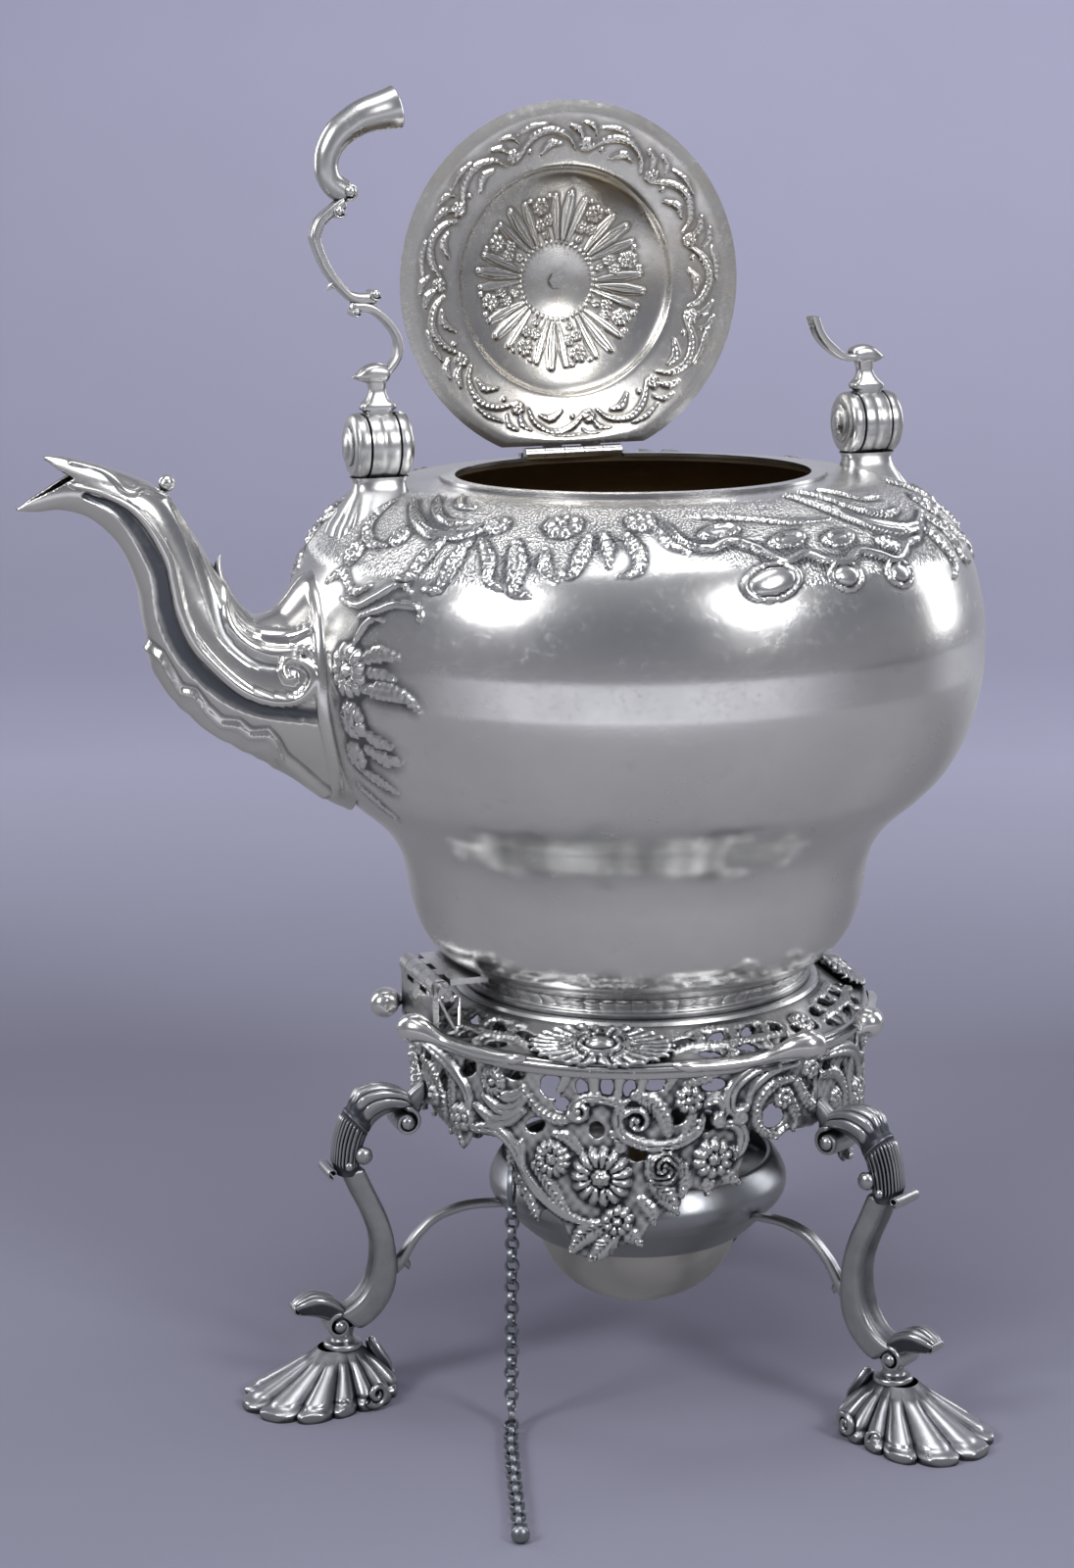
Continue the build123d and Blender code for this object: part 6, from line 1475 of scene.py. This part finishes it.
def add_pivot(end, angle, inward):
    """Pedestal, cheeks and pin heads of one pivot."""
    shift = np.array([inward, 0, 0])
    stand = Parts()
    for profile in both_ways(CHEEK):
        stand.add(drum(eased(profile, 50)) - shift, 0.9)
    rows = eased(PEDESTAL, 50)
    a = np.linspace(0, 2 * pi, 120, endpoint=False)[None, :]
    c, s = np.cos(a), np.sin(a)
    flute = 1 + 0.07 * np.clip((238.5 - rows[:, :1]) / 6, 0, 1) * (np.abs(np.cos(6 * a)) ** 0.6 - 1)
    shaft = np.stack([PIVOT_R + rows[:, 3:] + rows[:, 1:2] * flute * np.sign(c) * np.abs(c) ** 0.7,
                      rows[:, 2:3] * flute * np.sign(s) * np.abs(s) ** 0.7, rows[:, :1] + 0 * a], -1)
    stand.add(shaft - shift, np.clip((flute - 0.93) / 0.07, 0, 1))
    stand.build(f"{end}_cheeks", angle, CARVED, "kettle", (f"{end}_pedestal",))
    pin = Parts()
    for profile in both_ways(HEAD):
        pin.add(drum(profile) - shift, 0.9)
    pin.build(f"{end}_pin_heads", angle, CAST, "kettle", (f"{end}_pivot_pin",))


def add_root(end, angle, inward, lean):
    root = Parts()
    root.add(drum(eased(TONGUE, 50)) - np.array([inward, 0, 0]), 0.8)
    for pairs, widths, power in ((ROOT, (2.7, 2.7, 2.7, 2.7, 2.2, 1.8, 2.0, 1.6), 4.0),
                                 (CAP, (2.0, 2.6, 2.7, 2.6, 1.8, 0.3), 2.4)):
        root.sweep(at_arm(pairs, lean), widths, inward, sides=44, count=60, square=power)
    root.build(f"{end}_arm_foot", angle, CARVED, f"{end}_arm", (f"{end}_arm_root",))


for end, angle, inward, lean in (("front", 180, 0, 0), ("rear", 0, 1.8, 0.16)):
    add_pivot(end, angle, inward)
    add_root(end, angle, inward, lean)
ARMS = (
    ("front_scroll", "front", "front_arm_scroll", SCROLL, (2, 2.6, 2.6, 2.6, 2.6, 2.6, 2.4), 180, 0,
     ((5.4, 24.9, 1.5, 3.1),)),
    ("front_strap", "front", "front_arm_strap", STRAP, (2.4, 2.6, 2.6, 2.6, 2.6, 2.6, 2.6, 2.6, 2.4), 180, 0,
     ((0.4, 29.1, 2, 3.2), (9.2, 49.4, 2.1, 3.2))),
    ("rear_stub", "rear", "rear_arm_stub", STUB, 2.4, 0, 1.8, ()),
)
for name, end, node, pairs, widths, angle, inward, bosses in ARMS:
    arm = Parts()
    arm.sweep(at_arm(pairs), widths, inward, sides=44, count=110, square=3.4, hollow=0.12)
    for r, z, radius, half in bosses:
        arm.roll((PIVOT_R + r, ARM_Z + z), radius, half, 1.1, 200, 1)
        arm.bosses(PIVOT_R + r, half * 0.8, ARM_Z + z, radius * 0.55)
    if name == "front_strap":
        thorn = [(PIVOT_R + r, 0, ARM_Z + z) for r, z in ((9, 31.8), (11, 31.4), (12.3, 30))]
        arm.add(tube_points(thorn, (1.3, 0.9, 0.1), 10, 16), 0.9)
    arm.build(name, angle, CARVED, f"{end}_arm", (node,))

# Socket of the lost grip: a branch with an open, dark bore
SOCKET_TIP = radians(14.5)
BORE = ((0.96, -0.25), (0.84, -0.2), (0.76, 0.3), (0.72, 3), (0.7, 5.8), (0.02, 5.9))
socket = Parts()
BRANCH_WIDTHS = (2.2, 2.6, 2.7, 2.9, 3.1, 3.3, 3.6, 4.0, 4.4, 4.8, 4.9, 5.3)
grid, proud = swept(at_arm(BRANCH), BRANCH_WIDTHS, 48, 110, 2.0, open_end=True)
centre = grid[-1].mean(0)
back = np.array([cos(SOCKET_TIP), 0, -sin(SOCKET_TIP)])
bore = np.array([centre + (grid[-1] - centre) * share + back * deep for share, deep in BORE])
socket.add(np.concatenate([grid, bore]), np.concatenate([proud, np.full(bore.shape[:2], 0.15)]))
socket.roll((PIVOT_R + 6.4, ARM_Z + 54.1), 2.6, 3.2, 1.2, -60, -1)
socket.bosses(PIVOT_R + 6.2, 2.7, ARM_Z + 54.1, 1.5)
socket.build("grip_socket", 180, CARVED, "front_arm", ("front_arm_socket",))

# Lamp and the ring it stands in, and foot of the kettle
TURNED = (
    ("lamp_ring_turned", "lamp_ring", "stand", DARK, 110, 144, (
        (34.8, 57.8), (36.2, 58.1), (38, 55.8), (39.5, 53), (40, 51), (39.8, 48.6), (38.6, 46.4),
        (36.6, 44.4), (33.6, 41.2), (30.6, 38.4), (29, 37.6), (27.4, 37.6), (27.4, 39.4), (29.2, 39.4),
        (30.4, 40.4), (35.6, 45.8), (38.4, 51), (36.8, 54.6), (34.8, 57.8))),
    ("lamp_bowl_spun", "lamp_bowl", "lamp", SATIN, 110, 128, (
        (25.9, 40), (28.6, 40.35), (28.8, 39.9), (28.4, 39.45), (27, 39.3), (26.7, 36.4), (25.8, 32.6),
        (24, 28.6), (21.4, 25.2), (18.6, 22.6), (15, 20.4), (11, 18.7), (6, 17.8), (0.05, 17.65))),
    ("lamp_dome", "lamp_cover", "lamp", SATIN, 60, 96, (
        (4.3, 44.1), (7, 44.2), (10, 44.1), (16, 43.6), (22, 42.6), (25.4, 41.4), (27.5, 40.5), (25, 40.42))),
    ("collar_turned", "burner_collar", "lamp", BRASS, 50, 80, (
        (4.25, 48.3), (7.2, 48.3), (7.9, 47.6), (7.9, 46.8), (7.2, 46.4), (7.2, 45.8), (7.9, 45.4),
        (7.9, 44.6), (7.4, 44.2))),
)
for name, node, body, metal, rows, segments, line in TURNED:
    lathe(name, eased(line, rows), metal, body, (node,), segments)
FOOT_LINE = (
    (47.3, 112.6), (46.9, 111.6), (46, 110.6), (45.6, 109.6), (45.9, 108.9), (46.4, 108.5), (46.4, 107.6),
    (46, 107.25), (43.2, 107.25),
)
FLUTE = 0.35
foot_turns = np.arange(960) * 0.375
foot_line = eased(FOOT_LINE, 44)
swell = FLUTE * np.abs(np.cos(np.radians(foot_turns) * 36)) ** 0.6
swell = swell * np.exp(-((foot_line[:, 1:] - 110.8) / 1.1) ** 2)
fluted = spun(foot_line, foot_turns)
fluted[..., :2] *= 1 + ((swell - FLUTE) / foot_line[:, :1])[..., None]
piece("foot_moulding", fluted, grid_faces(*swell.shape, False, True)[:, ::-1], CHASED, "kettle",
      ("kettle_foot_ring",), relief=np.clip(0.2 + swell / FLUTE, 0, 1), ground=0 * swell)

for node, slot in SLOT_OF.items():
    mesh = NODES[node].data
    mesh.materials.clear()
    mesh.materials.append(FINISHES[slot])
